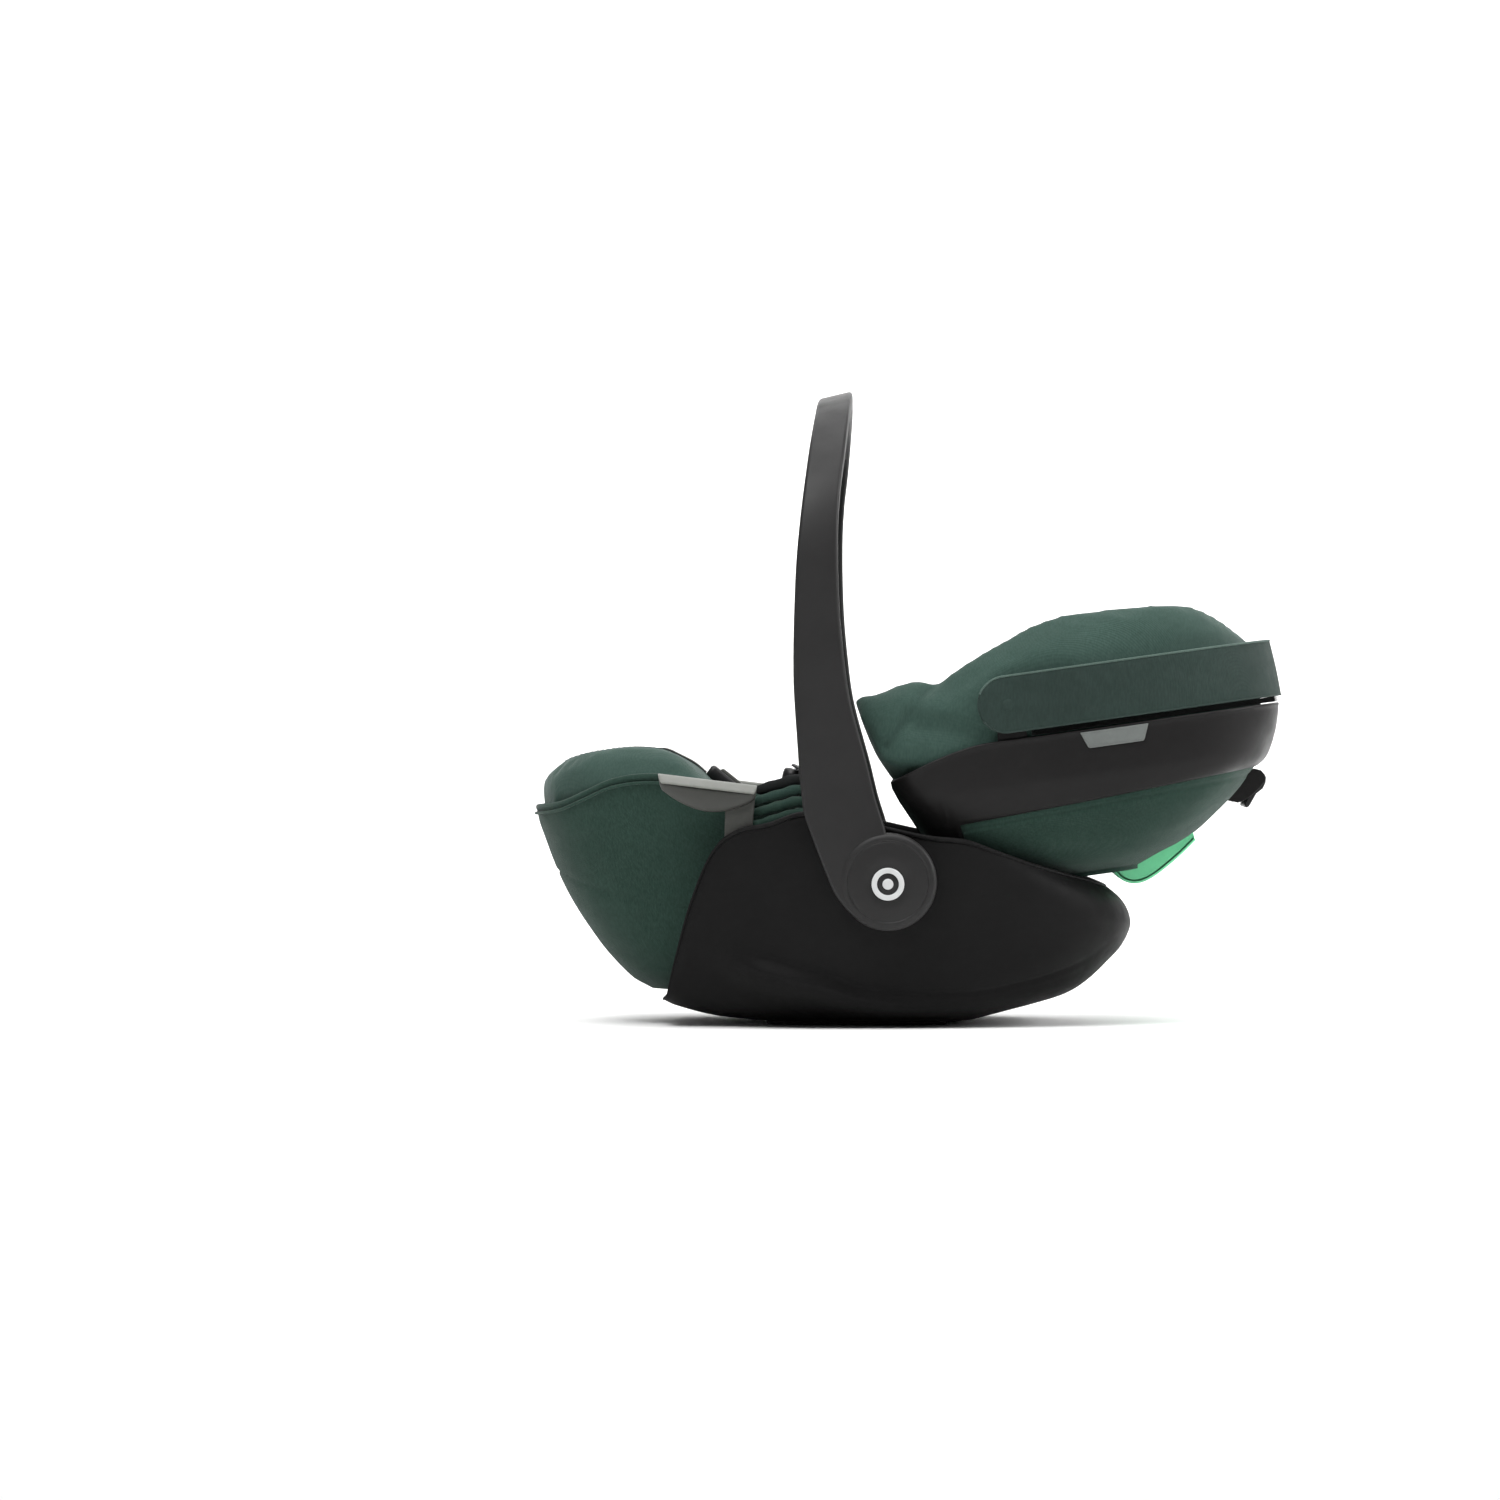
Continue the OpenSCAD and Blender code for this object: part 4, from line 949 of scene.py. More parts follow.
body = block("buckle_shell", at_buckle, [[0, 7, 24, 6, 0], [1.2, 9, 27.4, 7, 0], [4, 9.9, 28.8, 9, 0],
    [20, 10, 29, 9.4, 0], [34, 10, 29, 9.4, 0], [38, 9.6, 28.4, 9, 0], [39.6, 8.4, 26.6, 8, 0],
    [40, 6.5, 24.5, 6, 0], [39.6, 2.2, 23, 2, 1], [31, 1.9, 22.8, 1.8, 1]])
rim = block("buckle_bezel", at_buckle, [[4.5, 1.2, 11.6, 1, -10], [4.6, 1.6, 11.8, 1.2, -10.2],
    [25.4, 1.6, 11.8, 1.2, -10.2], [25.5, 1.2, 11.6, 1, -10]])
give(joined("buckle_shell", body, rim), "carriage", "buckle_plastic", "trim", "buckle_body")
press = block("buckle_press", at_buckle, [[7.1, 4.0, 7.2, 1, -8.4], [7.4, 4.6, 7.9, 1.4, -8.4],
    [15, 4.3, 7.9, 1.4, -8.1], [22.6, 4.6, 7.9, 1.4, -8.4], [22.9, 4.0, 7.2, 1, -8.4]])
give(press, "buckle_release", "red_plastic", "red", "buckle_button")
tongue = [block("tongue", at_buckle, [[29, 1.5, 9.4, 1, 1], [30, 1.7, 9.8, 1.2, 1], [41.5, 1.7, 9.8, 1.2, 1],
    [42.5, 1.4, 9.2, 1, 1]]) for _ in range(2)]
for o, s in zip(tongue, (-1, 1)):
    set_coords(o, coords(o) + [0, s * 11, 0])
give(joined("buckle_tongues_pair", *tongue), "carriage", "steel", "steel", "buckle_tongues")
crotch = strap("crotch_web", spline([[-89, 0, 154], [-92, 0, 168], [-94.6, 0, 180], [-97, 0, 192], [-99, 0, 204]],
    30), 34, 3)
give(crotch, "carriage", "webbing", "webbing", "crotch_strap")
cuff = block("crotch_cuff", at_buckle, [[-38, 2.0, 18, 1.6, 1.0], [-36, 3.6, 20.4, 3, 1.0],
    [-20, 4.4, 21.0, 3.6, 0.6], [-6, 4.2, 20.6, 3.4, 0.4], [-2, 3.0, 19, 2.4, 0.2]], 8)
give(finer(cuff), "carriage", "liner_fabric", "green", fill=0.7)

hip = strap("hip_web", spline([[-87, -24, 241.5], [-77, -29, 235], [-64, -37, 218], [-52, -49, 193],
    [-38, -64, 169], [-24, -78, 152], [-10, -90, 142]], 60) + [0, 0, 1], 26, 2, side=(0.15, 1, 0))
pair(hip, "hip_web", "carriage", "webbing", "webbing", "hip_strap_{}")

frame_part = block("adjuster_frame", at_adjuster, [[-2, 20, 18, 3, 0], [-1, 21.4, 19.4, 4, 0],
    [7.5, 22, 20, 4.4, 0], [9.4, 21, 19, 4, 0], [10, 19.6, 17.6, 3.4, 0], [9.8, 14.2, 13.2, 2, 0],
    [9.0, 13.3, 12.3, 1.6, 0], [2.2, 13.1, 12.1, 1.6, 0]])
give(frame_part, "carriage", "buckle_plastic", "trim", "adjuster_housing")
push = block("adjuster_press", at_adjuster, [[6, 12.8, 11.8, 1.4, 0], [11.4, 12.8, 11.8, 1.6, 0],
    [12.5, 12.1, 11.1, 1.6, 0], [12.9, 10.8, 9.8, 1.4, 0], [12.4, 6, 5.4, 1.2, 0], [12.2, 1, 1, 0.5, 0]])
give(push, "strap_release", "grey_plastic", "grey", "adjuster_button")
xs = np.linspace(-174, -222, 50)
tail = on_surface(calf, [[x, 0, 300] for x in xs], 0.7)
tail[:, 2] += 0.5 * np.sin(np.linspace(0, 6, len(tail))) ** 2 - 1.4 * ease(np.linspace(-2, 1, len(tail)))
give(strap("adjuster_tail", tail, 26, 2), "carriage", "webbing", "webbing", "adjuster_strap")

# ---- backrest shell and belly

W0, W_SPAN = -62, 133
BACK_FOOT, BACK_MID, BACK_WIDE, BACK_N = 33, 190, 179, (9, 3.2)
BACK_RIM = [[39, 48], [60, 54], [80, 62], [100, 69], [112, 71], [150, 71], [400, 71]]
BACK_HEAD = [[0, 228], [0.064, 249], [0.113, 268], [0.173, 284], [0.3, 308], [0.42, 328], [0.545, 344], [0.62, 358],
    [0.72, 367], [0.85, 374], [1, 378]]
BACK_SIDE = [[0, -84], [0.08, -58], [0.2, -36], [0.35, -19], [0.5, -9], [0.6, -3], [0.7, 0], [1, 0]]
LEAN = [[-66, 26], [-6, 0], [49, -28], [120, -52], [170, -66]]


def leaned(u, w):
    return u + curve(LEAN, w) * (1 - ease((u - 50) / 90))


def back_line(u):
    """Where the black panel ends and the belly's fabric starts."""
    return mix(mix(1, 15, (u - 70) / 280), W0 + 6, ease((70 - u) / 12))


def back_egg(cs, v, grow):
    return egg(cs, BACK_FOOT - grow, BACK_MID, curve(BACK_HEAD, v) + grow, BACK_WIDE + curve(BACK_SIDE, v) + grow,
        *BACK_N)


def back_ring(cs, w, grow):
    """Plan of the backrest shell, u and y, at heights w."""
    u, y = back_egg(cs, np.clip((w - W0) / W_SPAN, 0, 1), grow)
    return leaned(u, w), y


def rim_at(cs):
    q, qy = back_egg(cs, 1, 0)
    return mix(-44, curve(BACK_RIM, q), np.maximum(ease((np.abs(qy) - 118) / 42), ease((q - 60) / 40)))


def make_panel():
    """Black moulded side of the backrest, with a rounded lower lip and a bead along its top."""
    cs = turns(260, *BACK_N)
    rim = rim_at(cs)
    line = np.minimum(back_line(back_egg(cs, 1, 0)[0]), rim - 1.5)
    rings = []

    def ring(grow, w):
        u, y = back_ring(cs, w, grow)
        rings.append(back(u, w, y))

    for v in np.linspace(0, 1, 14):
        ring(0, mix(W0, line - 3, v))
    for grow, dw in ((0, -1.5), (1.8, -2.2), (3.0, -1.8), (3.8, -0.8), (4.1, 0.6), (4.1, 2.5)):
        ring(grow, line + dw)
    for v in np.linspace(0.06, 0.93, 24):
        ring(4.1 - 0.8 * math.sin(math.pi * v), mix(line + 2.5, rim - 3, v))
    for grow, dw in ((4.1, -3.0), (4.4, -2.2), (4.3, -1.0), (3.2, -0.1), (1.2, 0.0), (-1.5, -0.1), (-3.2, -0.8),
        (-4, -2.4)):
        ring(grow, rim + dw)
    for v in np.linspace(0.95, 0, 20):
        ring(-4, mix(W0 + 4, rim - 3, v))
    return loft("side_panel", rings)


give(make_panel(), "backrest", "shell_plastic", "panel", "back_shell")


def make_belly():
    """Fabric stretched under the backrest, tucked behind the panel's lower lip."""
    cs = turns(240, *BACK_N)
    top = np.minimum(back_line(back_egg(cs, 1, 0)[0]), rim_at(cs) - 1.5) - 1.2
    rings = []
    for s in np.concatenate([np.linspace(0, 0.25, 12)[:-1], np.linspace(0.25, 1, 34)]):
        g = 3.4 if s < 0.9 else mix(3.4, 1.9, (s - 0.9) / 0.1)
        w = mix(W0 - g, top, s)
        u, y = back_ring(cs, w, g)
        p = back(u, w, y)
        n = outward(np.stack([u, y, w], -1))
        drag = 0.9 * wobble(p * [1, 0.5, 0.4], 90, 7) + 0.5 * wobble(p, 38, 8)
        hem = 1.3 * bump(s, 0.9, 0.018)
        d = (drag * ease(s / 0.2) * ease((1 - s) / 0.15) - hem)[:, None] * n
        rings.append(p + np.stack([d[:, 0], d[:, 1], 0 * d[:, 0]], -1))
    for s in (0.99, 0.9, 0.8):
        w = mix(W0 - 0.6, top, s)
        u, y = back_ring(cs, w, 0.6)
        rings.append(back(u, w, y))
    w = np.full(240, W0 - 3.4)
    u, y = back_ring(cs, w, 3.4)
    closing = [back((u - 130) * k + 130, w - 1.2 * (1 - k), y * k) for k in (1, 0.8, 0.6, 0.4, 0.2, 0.03)]
    side, low = loft("belly_fabric", rings, caps=False), loft("belly_floor", closing, caps=False)
    return tidy(joined("belly_fabric", side, low))


give(make_belly(), "backrest", "green_fabric", "green", "belly_cover", fill=0.9)

# badge: a blank trapezoid plate
plate = slab("badge", [[188, 68.4], [252, 68.4], [250.5, 65], [246.4, 54.6], [245, 53], [195, 53], [193.6, 54.6],
    [189.5, 65]], -184.6, -180, 0.9, "back")
inner = slab("badge_face", [[191.2, 66.4], [248.8, 66.4], [244.2, 55.2], [195.8, 55.2]], -184.9, -184.0, 0.25,
    "back")
pair(joined("badge", plate, inner), "badge", "backrest", "badge_paint", "badge", "badge_{}")

# rear guide for the diagonal belt: a rounded green trough with ribs inside
LINE = spline([[205, -66.5], [211, -73.8], [219, -78.2], [229, -79], [241, -75.2], [253, -68.6], [269, -58.4],
    [285, -46.4]], 64)
tan = unit(np.gradient(LINE, axis=0))
outwards = np.stack([tan[:, 1], -tan[:, 0]], -1)
rings = []
for k in range(len(LINE)):
    sec = [(-64, 0.3), (-65.2, 0.1), (-66, -0.8), (-66, -3.4), (-65, -4.4), (-30, -4.4), (0, -4.4), (30, -4.4),
        (65, -4.4), (66, -3.4), (66, -0.8), (65.2, 0.1), (64, 0.3), (30, 0.0), (0, -0.1), (-30, 0.0)]
    rings.append([back(*(LINE[k] + outwards[k] * d), y) for y, d in sec])
trough = loft("trough", rings)
sides = []
for s in (-1, 1):
    edge = np.concatenate([LINE - outwards * 1.0, [[282, -26], [262, -38], [232, -49], [205, -60]]])
    sides.append(slab("cheek", edge, s * 58, s * 66, 0.9, "back"))
    for yy in (20, 40):
        rib = np.concatenate([LINE[6:-8] - outwards[6:-8] * 3.5, (LINE - outwards * 7.5)[6:-8][::-1]])
        sides.append(slab("rib", rib, s * yy - 1.2, s * yy + 1.2, 0.5, "back", 2))
give(joined("rear_guide", trough, *sides), "backrest", "guide_plastic", "signal", "rear_belt_guide")

# recline lever and its bracket
brackets = [slab("bracket", [[319, -13], [331, 14], [350, 12], [356, 9.5], [359.5, 4], [358.5, -1], [352, -7],
    [345, -12], [338, -16], [330, -18]], s * 41.5, s * 46, 0.8, "back") for s in (-1, 1)]
pin = tube("pin", back(np.full(30, 355.0), np.full(30, 3.0), np.linspace(-43, 43, 30)), 2.5, 20)
give(joined("lever_mount", *brackets, pin), "backrest", "shell_plastic", "panel", "lever_bracket")
hook = slab("hook", [[351.2, 3.6], [353, 6.6], [356, 7.4], [359, 5.6], [360, 2], [359.0, -2.5], [355.5, -8],
    [349.0, -11.6], [341.0, -22], [338.2, -23.6], [335.8, -22], [336.6, -19], [343.5, -10.2], [349, -2]], -40.8,
    40.8, 1.2, "back")
pads = [slab("pad", [[340.8, -22.6], [338.6, -24.2], [345.4, -14.6], [348.2, -12.6]], y - 3, y + 3, 0.5, "back", 2)
    for y in (-30, -20, -10, 0, 10, 20, 30)]
give(joined("lever_hook", hook, *pads), "lever", "shell_plastic", "trim", "recline_lever")

# ---- wings

CREST = [[0, 131], [16, 137], [34, 143], [50, 145], [63, 142], [98, 158], [130, 172], [159, 182], [187, 187],
    [212, 188], [232, 187.5], [279, 185], [300, 182], [321, 175.5], [338, 165.5], [355, 150], [372, 131]]


WING_LINES = {"outer": (366, 168, 2.7), "crest": (356, 147, 2.6), "inner": (334, 114, 2.4)}


def wing_line(t, kind, inset=0.0):
    """Lines along the padded wings: outer foot, crest and inner foot."""
    head, half, n = WING_LINES[kind]
    return horseshoe(t, 33 + inset, 150, head - inset, half - inset, n)


def make_wings():
    shrink = 0.5
    ts = even(lambda t: wing_line(t, "outer"), 150)
    rings = []
    for t in ts:
        o, m, n = ([float(v) for v in wing_line(t, k)] for k in ("outer", "crest", "inner"))
        end = min(1.0, min(t, 1 - t) / 0.02)
        top = float(curve(CREST, leaned(o[0], 120))) - shrink
        low = float(mix(62, 48, ease((o[0] - 56) / 24))) + shrink
        deep = float(mix(26, -9, ease((o[0] - 40) / 60)) + 42 * ease((o[0] - 280) / 70)) + shrink
        o, m, n = np.array(o), np.array(m), np.array(n)
        inward = unit(n - o)
        o, n = o + inward * shrink, n - inward * shrink
        full = 0.86 + 0.14 * end
        sec = []
        for a, b, k, w in ((o, m, 0, low), (o, m, 0, mix(low, top, 0.2)), (o, m, 0.02, mix(low, top, 0.4)),
            (o, m, 0.1, mix(low, top, 0.6)), (o, m, 0.28, mix(low, top, 0.78)), (o, m, 0.55, mix(low, top, 0.91)),
            (o, m, 0.8, mix(low, top, 0.975)), (o, m, 1, top), (n, m, 0.72, mix(deep, top, 0.975)),
            (n, m, 0.45, mix(deep, top, 0.92)), (n, m, 0.2, mix(deep, top, 0.8)), (n, m, 0.06,
            mix(deep, top, 0.62)), (n, m, 0, mix(deep, top, 0.4)), (n, m, 0, mix(deep, top, 0.2)), (n, m, 0, deep),
            (n, m, 0.3, deep)):
            p = mix(a, b, k)
            sec.append([leaned(p[0], w), p[1], w])
        c = np.mean(sec, 0)
        rings.append([back(*((c + (np.array(q) - c) * full)[[0, 2, 1]])) for q in sec])
    return loft("wing_padding", rings)


wings = puff(make_wings(), 5, 8, smooth=3)
ts = np.linspace(0.02, 0.98, 160)


def along(kind, w_of, inset=0.0):
    x, y = wing_line(ts, kind, inset=inset)
    w = w_of(x)
    return back(leaned(x, w), w, y)


# sewn channels: one low along the outside, one just inside the crest, two across the front lobes
groove(wings, along("outer", lambda x: 74 + 0 * x), 1.2, 3.5)
groove(wings, along("crest", lambda x: curve(CREST, leaned(x, 120)) - 2, 12), 2.2, 4.0)
for s in (-1, 1):
    groove(wings, [back(u, w, s * yy) for u, w, yy in ((10, 82, 173), (24, 96, 173), (35, 108, 171), (49, 124, 165),
        (61, 136, 155), (66, 141, 146), (66, 131, 132), (62, 108, 120))], 4.2, 7.0)
    groove(wings, [back(u, w, s * yy) for u, w, yy in ((42, 97, 173), (66, 90, 173), (96, 80, 172))], 6.0, 13.0)
# the wings take the lighter copy of the green cloth: painted light on their lit tops
give(wings, "backrest", "green_fabric", "wing", "wing_bolster", fill=0.85)

# ---- back pad, headrest, shoulder harness

BACK_TOP = [[20, -36], [60, -26], [120, -16], [200, -4], [300, 8], [340, 16]]
BACK_HALF = [[40, 92], [60, 104], [220, 106], [290, 84], [330, 50]]


PAD_SHRINK = 2.5


def make_back_pad():
    rings = []
    for u in np.linspace(63, 307, 40):
        w, z = float(curve(BACK_HALF, u)) - PAD_SHRINK, float(curve(BACK_TOP, u)) - PAD_SHRINK
        rings.append([back(u, z - b + (PAD_SHRINK * 2 if b > 12 else 0), w * a) for a,
            b in ((-1, 17), (-0.92, 22), (0.92, 22), (1, 17), (1, 9), (0.94, 4), (0.84, 1), (0.6, 0), (0.3, -0.5),
            (0, -0.6), (-0.3, -0.5), (-0.6, 0), (-0.84, 1), (-0.94, 4), (-1, 9))])
    return loft("back_padding", rings)


pad = puff(make_back_pad(), 4.5, 4.5)
for u in (104, 144, 244, 280):
    ys = np.linspace(-0.96, 0.96, 40)
    groove(pad, [back(u, float(curve(BACK_TOP, u)), yy * float(curve(BACK_HALF, u))) for yy in ys], 2.4, 3.4)
for s in (-1, 1):
    us = np.linspace(70, 300, 60)
    groove(pad, [back(u, float(curve(BACK_TOP, u)), s * (float(curve(BACK_HALF, u)) - 26)) for u in us], 2.2, 3.4)
give(pad, "backrest", "liner_fabric", "liner", "back_pad", fill=0.7)


def make_headrest():
    ts = even(lambda t: horseshoe(t, 120, 170, 242, 90, 2.6), 90)
    rings = []
    for t in ts:
        o = np.array(horseshoe(t, 120, 170, 242, 90, 2.6), float)
        n = np.array(horseshoe(t, 120, 165, 212, 56, 2.4), float)
        inward = unit(n - o)
        o, n = o + inward * PAD_SHRINK, n - inward * PAD_SHRINK
        end = min(1.0, min(t, 1 - t) / 0.03)
        low, hi = 12.4 + PAD_SHRINK, 84 - PAD_SHRINK
        sec = [(0, low), (0, 40), (0, 62), (0.06, 74), (0.2, hi - 2), (0.4, hi), (0.6, hi - 0.5), (0.8, hi - 5),
            (0.94, hi - 15), (1, 60), (1, 36), (1, low)]
        pts = np.array([[*(o + (n - o) * k), w] for k, w in sec])
        c = pts.mean(0)
        pts = c + (pts - c) * (0.8 + 0.2 * end)
        rings.append(back(pts[:, 0], pts[:, 2], pts[:, 1]))
    return loft("headrest_padding", rings)


rest = puff(make_headrest(), 4.5, 4.5)
ts_h = np.linspace(0.02, 0.98, 120)
x, y = horseshoe(ts_h, 120, 168, 226, 72, 2.5)
groove(rest, back(x, 84.0 + 0 * x, y), 2.6, 3.4)
give(rest, "headrest", "green_fabric", "green", "headrest_pad", fill=0.8)

rings = []
for u in np.linspace(126, 202, 30):
    h = float(np.interp(u, [124, 186, 204], [49, 47, 30]))
    rings.append([back(u, w, h * a) for a, w in ((-1, 14.5), (-0.9, 14), (0.9, 14), (1, 14.5), (1, 17.5),
        (0.92, 19.6), (0.7, 20.4), (0.35, 20.8), (0, 21), (-0.35, 20.8), (-0.7, 20.4), (-0.92, 19.6), (-1, 17.5))])
pillow = puff(loft("head_pillow", rings), 3.5, 2.6)
for yy in (-18, 18):
    groove(pillow, [back(u, 22, yy) for u in np.linspace(128, 200, 30)], 1.8, 2.8)
give(pillow, "headrest", "liner_fabric", "liner", "head_cushion", fill=0.7)


def strap_y(u):
    return mix(64, 44, (u - 30) / 96)


us = np.linspace(40, 130, 60)
path = back(us, curve(BACK_TOP, us) + 2.4, -strap_y(us))
pair(strap("shoulder_web", path, 26, 2), "shoulder_web", "backrest", "webbing", "webbing", "shoulder_strap_{}")
rings = []
for k, u in enumerate(np.linspace(49, 114, 36)):
    end = min(1.0, (min(u - 48.5, 114.5 - u) / 7)) ** 0.5
    c, up = curve(BACK_TOP, u) + 3.6, 9.4 * (0.3 + 0.7 * end)
    h = 23 * (0.8 + 0.2 * end)
    rings.append([back(u, c + up * b, -strap_y(u) + h * a) for a, b in ((-1, 0.35), (-0.97, 0.12), (-0.9, 0),
        (0.9, 0), (0.97, 0.12), (1, 0.35), (0.98, 0.6), (0.9, 0.85), (0.75, 0.97), (0.4, 1.03), (0, 1.04),
        (-0.4, 1.03), (-0.75, 0.97), (-0.9, 0.85), (-0.98, 0.6))])
sleeve = loft("shoulder_sleeve", rings)
for side in (-16, 16):
    groove(sleeve, [back(u, curve(BACK_TOP, u) + 13, -strap_y(u) + side) for u in np.linspace(50, 113, 30)], 1.0,
        1.8)
pair(sleeve, "shoulder_sleeve", "backrest", "green_fabric", "green", "shoulder_pad_{}", fill=0.7)

# ---- canopy

BAND_W0, BAND_H = 77, 53


def band_half(d):
    return BAND_H / 2 * np.where(d >= BAND_H / 2, 1, np.sqrt(np.maximum(0.0, 1 - (1 - np.clip(d, 0,
        BAND_H / 2) / (BAND_H / 2)) ** 2)))


BAND_MID = 170


def band_point(t, off=0.0):
    return horseshoe(t, 98, BAND_MID, 386 - off, 188 - off, 2.8)


def make_band():
    """Stiffened canopy band: fabric over a plastic strip, edges rounded, face very slightly crowned."""
    ts = even(lambda t: band_point(t), 260)
    tip = np.concatenate([[0, 0.0008, 0.002, 0.004, 0.007, 0.011, 0.016, 0.022], ts[(ts > 0.026) & (ts < 0.974)],
        1 - np.array([0.022, 0.016, 0.011, 0.007, 0.004, 0.002, 0.0008, 0])])
    rings = []
    for t in tip:
        o = np.array(band_point(t), float)
        n = np.array(band_point(t, 8.0), float)
        h = max(1.6, float(band_half(np.array(o[0] - 98))))
        mid = BAND_W0 + BAND_H / 2
        lean = 4 * float(ease((o[0] - 300) / 80))
        sec = []
        for k, w in ((0.5, -1), (0.2, -0.995), (0.06, -0.97), (0.0, -0.93), (-0.03, -0.7), (-0.06, -0.35),
            (-0.08, 0), (-0.06, 0.35), (-0.03, 0.7), (0.0, 0.93), (0.06, 0.97), (0.2, 0.995), (0.5, 1),
            (0.8, 0.995), (0.94, 0.97), (1, 0.93), (1, 0.5), (1, 0), (1, -0.5), (1, -0.93), (0.94, -0.97),
            (0.8, -0.995)):
            p = o + (n - o) * k
            f = 1 - lean * (0.5 + 0.5 * w) / np.linalg.norm(p - [BAND_MID, 0])
            sec.append([BAND_MID + (p[0] - BAND_MID) * f if p[0] > BAND_MID else p[0],
                p[1] * (f if p[0] > BAND_MID else 1), mid + h * w])
        sec = np.array(sec)
        rings.append(back(sec[:, 0], sec[:, 2], sec[:, 1]))
    return loft("canopy_band_cover", rings)


band = make_band()
give(band, "canopy", "canopy_fabric_dark", "canopy", "canopy_band", fill=0.95)
ts_b = even(lambda t: band_point(t), 240)


def band_edge(w_share, grow):
    """A line round the band at a share of its half height, following its rounded ends."""
    pts = []
    for t in ts_b:
        o = np.array(band_point(t), float)
        h = float(band_half(np.array(o[0] - 98)))
        if h < BAND_H / 2 * 0.25:
            continue
        lean = 4 * float(ease((o[0] - 300) / 80)) * (0.5 + 0.5 * w_share)
        d = o - [BAND_MID, 0]
        f = 1 + (grow - lean) / np.linalg.norm(d)
        u, y = (BAND_MID + d[0] * f, o[1] * f) if o[0] > BAND_MID else (o[0], o[1] + np.sign(o[1]) * grow)
        pts.append(back(u, BAND_W0 + BAND_H / 2 + h * w_share, y))
    return np.array(pts)


# the bead along the band's top edge is lighter than the band: a painted highlight line; the hem below keeps the
# band's colour
give(tube("band_piping", band_edge(0.985, -0.3), 1.0, 10), "canopy", "canopy_fabric_dark", "piping")
give(tube("band_hem", band_edge(-0.97, -0.4), 0.9, 8), "canopy", "canopy_fabric_dark", "canopy")
for s in (-1, 1):
    rivet = lathe("rivet", [[r, s * y] for r, y in ((5.6, 187.4), (5.6, 188.3), (5.0, 188.9), (3.4, 189.2),
        (0.4, 189.3))], (0, 0), 40)
    c = back(126, 103)
    set_coords(rivet, coords(rivet) + [float(c[0]), 0, float(c[2])])
    rivet.name = "pivot_rivet_" + ("left" if s < 0 else "right")
    give(rivet, "canopy", "canopy_fabric_dark", "canopy")

# folded canopy cloth: one sheet, pleated into a stack under and inside the band
PLEATS = 7


def cloth_line(t):
    return horseshoe(t, 144, 190, 383.5, 184, 2.8)


def make_cloth():
    ts = even(cloth_line, 220)
    x0, y0 = cloth_line(ts)
    d = unit(np.stack([x0 - 190, y0], -1))
    rows, n = [], PLEATS * 8 + 1
    for j in range(n):
        k = j / (n - 1)
        wave = 0.5 - 0.5 * math.cos(k * PLEATS * 2 * math.pi)
        uneven = 0.22 * np.sin(ts * 23 + j * 0.35) + 0.14 * np.sin(ts * 61 + j * 0.2 + 1)
        depth = 4.6 * (1 - wave) + 0.5 * uneven
        w = 71.9 + 4.9 * k + 0.12 * np.sin(ts * 37 + 2 * k)
        edge = np.minimum(1, np.minimum(ts, 1 - ts) / 0.02)
        rows.append(back(x0 - d[:, 0] * depth * edge, w, y0 - d[:, 1] * depth * edge))
    return loft("canopy_cloth", rows, close=False, caps=False)


cloth = make_cloth()
cloth.data.materials.clear()
cloth.data.materials.append(M["black_cloth"])
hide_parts("canopy_fabric")
tuple(back(250, 72.6) / 1000)
tuple(back(250, 76.4) / 1000)
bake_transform(cloth)

# ---- finish of the CAD nodes that stay

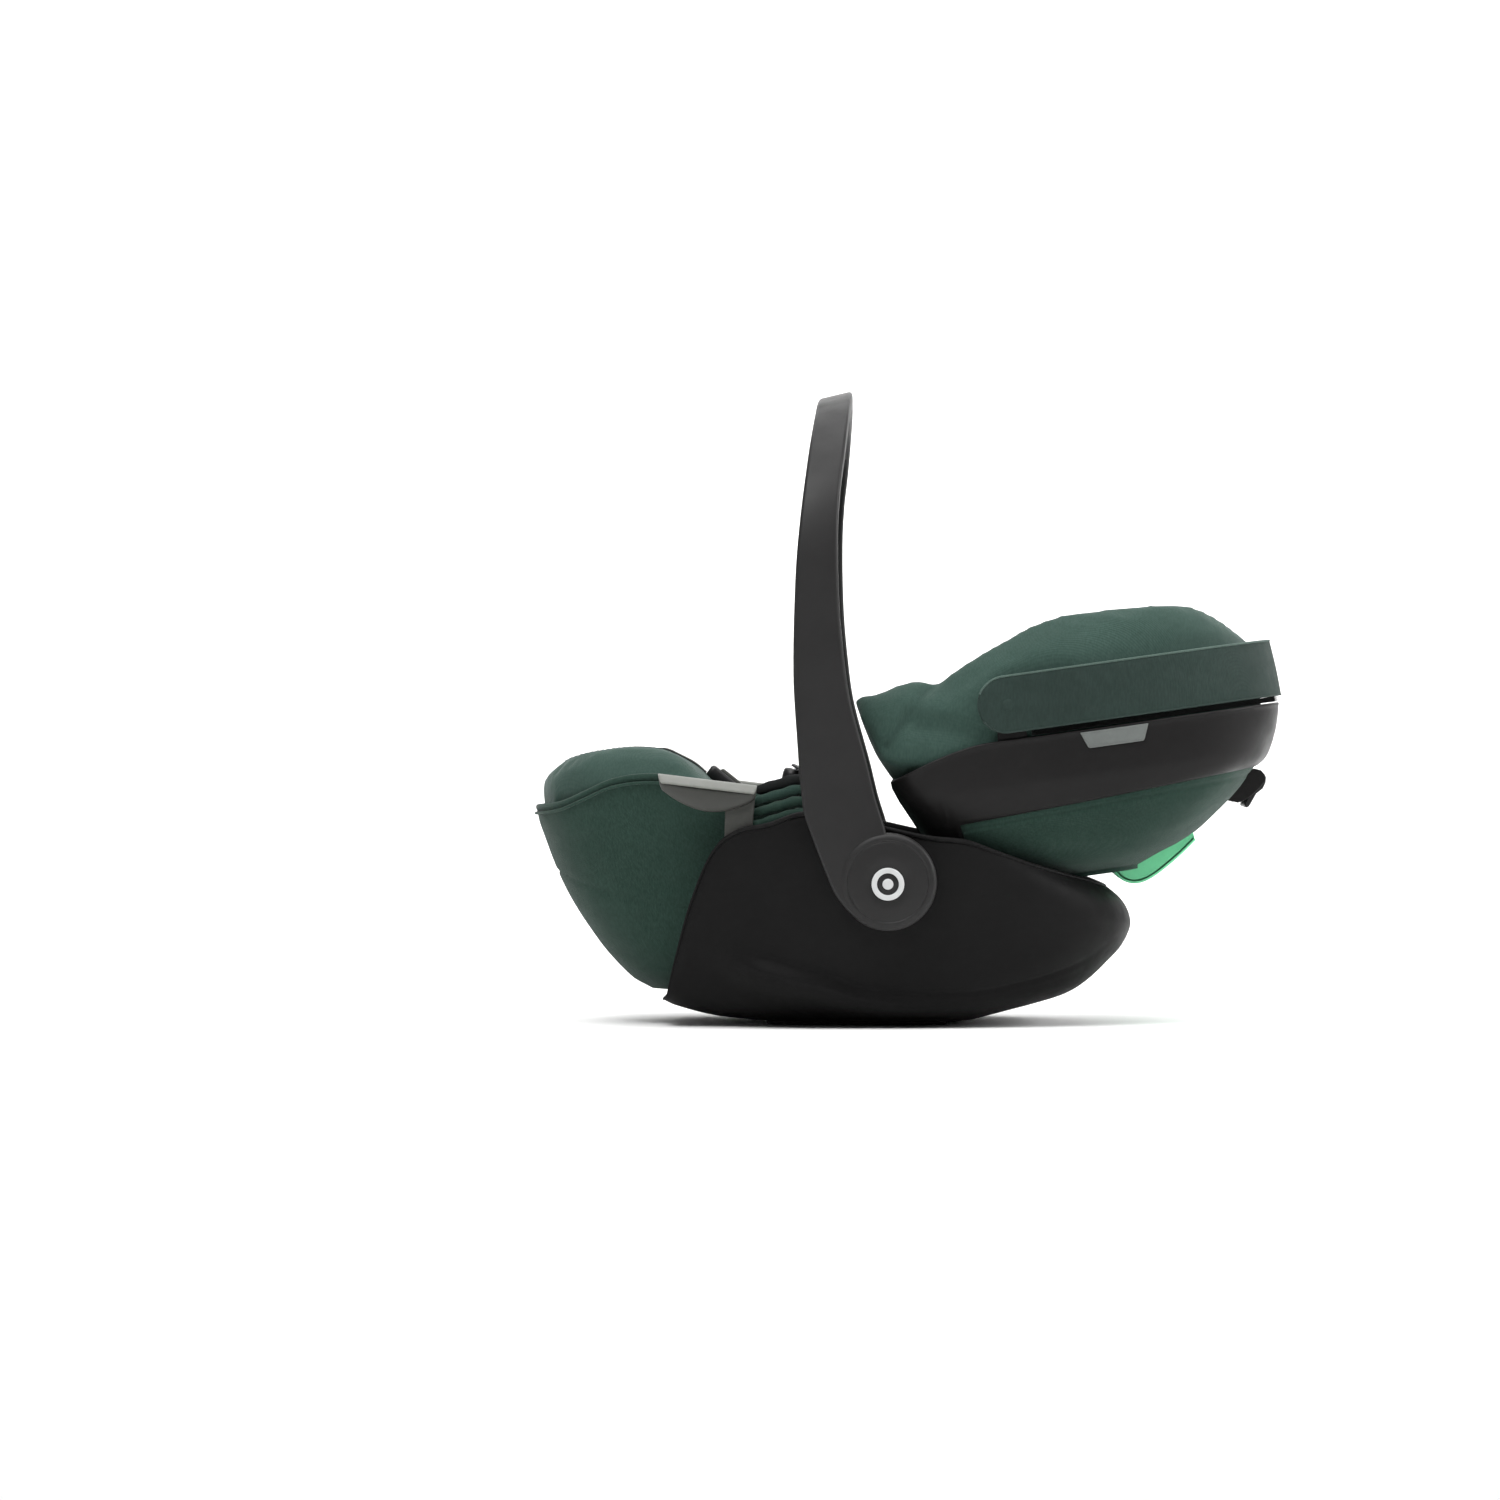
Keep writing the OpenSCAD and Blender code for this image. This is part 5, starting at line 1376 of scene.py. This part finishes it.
KEPT = {"sole_screws": "steel", "base_latch_bars": "steel", "handle_boss_left": "shell",
    "handle_boss_right": "shell", "pivot_pin_left": "dark_steel", "pivot_pin_right": "dark_steel",
    "lock_gear_left": "grey", "lock_gear_right": "grey", "slide_rail_left": "steel", "slide_rail_right": "steel",
    "seat_pan": "shell", "slide_shoes": "trim", "hinge_pins": "steel", "hinge_ears": "shell", "hinge_lugs": "trim",
    "canopy_bracket_left": "panel", "canopy_bracket_right": "panel", "headrest_rails": "steel",
    "headrest_shell": "trim", "canopy_bow": "dark_steel",}
for name, mat in KEPT.items():
    NODES[name].data.materials.clear()
    NODES[name].data.materials.append(M[mat])

# ---- stage, light and camera

n = Nodes("studio_white")
studio = n.done((0.94, 0.94, 0.935), 0.9, Specular_IOR_Level=0.1)
rows = []
for y, z in [(-9, 0), (-4, 0), (0, 0), (3, 0), (4.6, 0), (5.2, 0.06), (5.6, 0.25), (5.85, 0.6), (5.9, 1.2),
    (5.9, 6)]:
    rows.append([[x, y * 1000, z * 1000 - 0.3] for x in np.linspace(-9000, 9000, 12)])
floor = loft("studio_sweep", rows, close=False, caps=False)
finer(floor, 2)
floor.data.materials.append(studio)

world = bpy.data.worlds.new("studio")
scene.world = world
world.use_nodes = True
world.node_tree.nodes["Background"].inputs["Color"].default_value = (1, 1, 1, 1)
world.node_tree.nodes["Background"].inputs["Strength"].default_value = 0.22


def lamp(name, at, to, size, power):
    data = bpy.data.lights.new(name, "AREA")
    data.shape, data.size, data.size_y, data.energy = "RECTANGLE", *size, power
    o = bpy.data.objects.new(name, data)
    scene.collection.objects.link(o)
    o.location = at
    o.visible_camera = False
    o.rotation_euler = (Vector(to) - Vector(at)).to_track_quat("-Z", "Y").to_euler()


lamp("overhead", (0.1, -0.9, 3.5), (0, -0.5, 0), (3.8, 4.2), 200)
lamp("front_left", (-1.3, -2.4, 2.9), (0, 0, 0.25), (1.6, 1.2), 60)
lamp("head_side", (2.8, -0.2, 1.5), (0.1, 0, 0.3), (1.2, 1.6), 60)
lamp("sweep", (0, 3.2, 4.4), (0, 5.6, 1.0), (7, 1.2), 330)

cam = bpy.data.cameras.new("camera")
cam.lens, cam.sensor_width, cam.clip_end = 151.3, 36, 60
camera = bpy.data.objects.new("camera", cam)
scene.collection.objects.link(camera)
camera.location = (0.02, -6.0, 0.258)
camera.rotation_euler = (Vector((-0.127, -0.2, 0.258)) - camera.location).to_track_quat("-Z", "Y").to_euler()
scene.camera = camera
scene.view_settings.view_transform = "Standard"
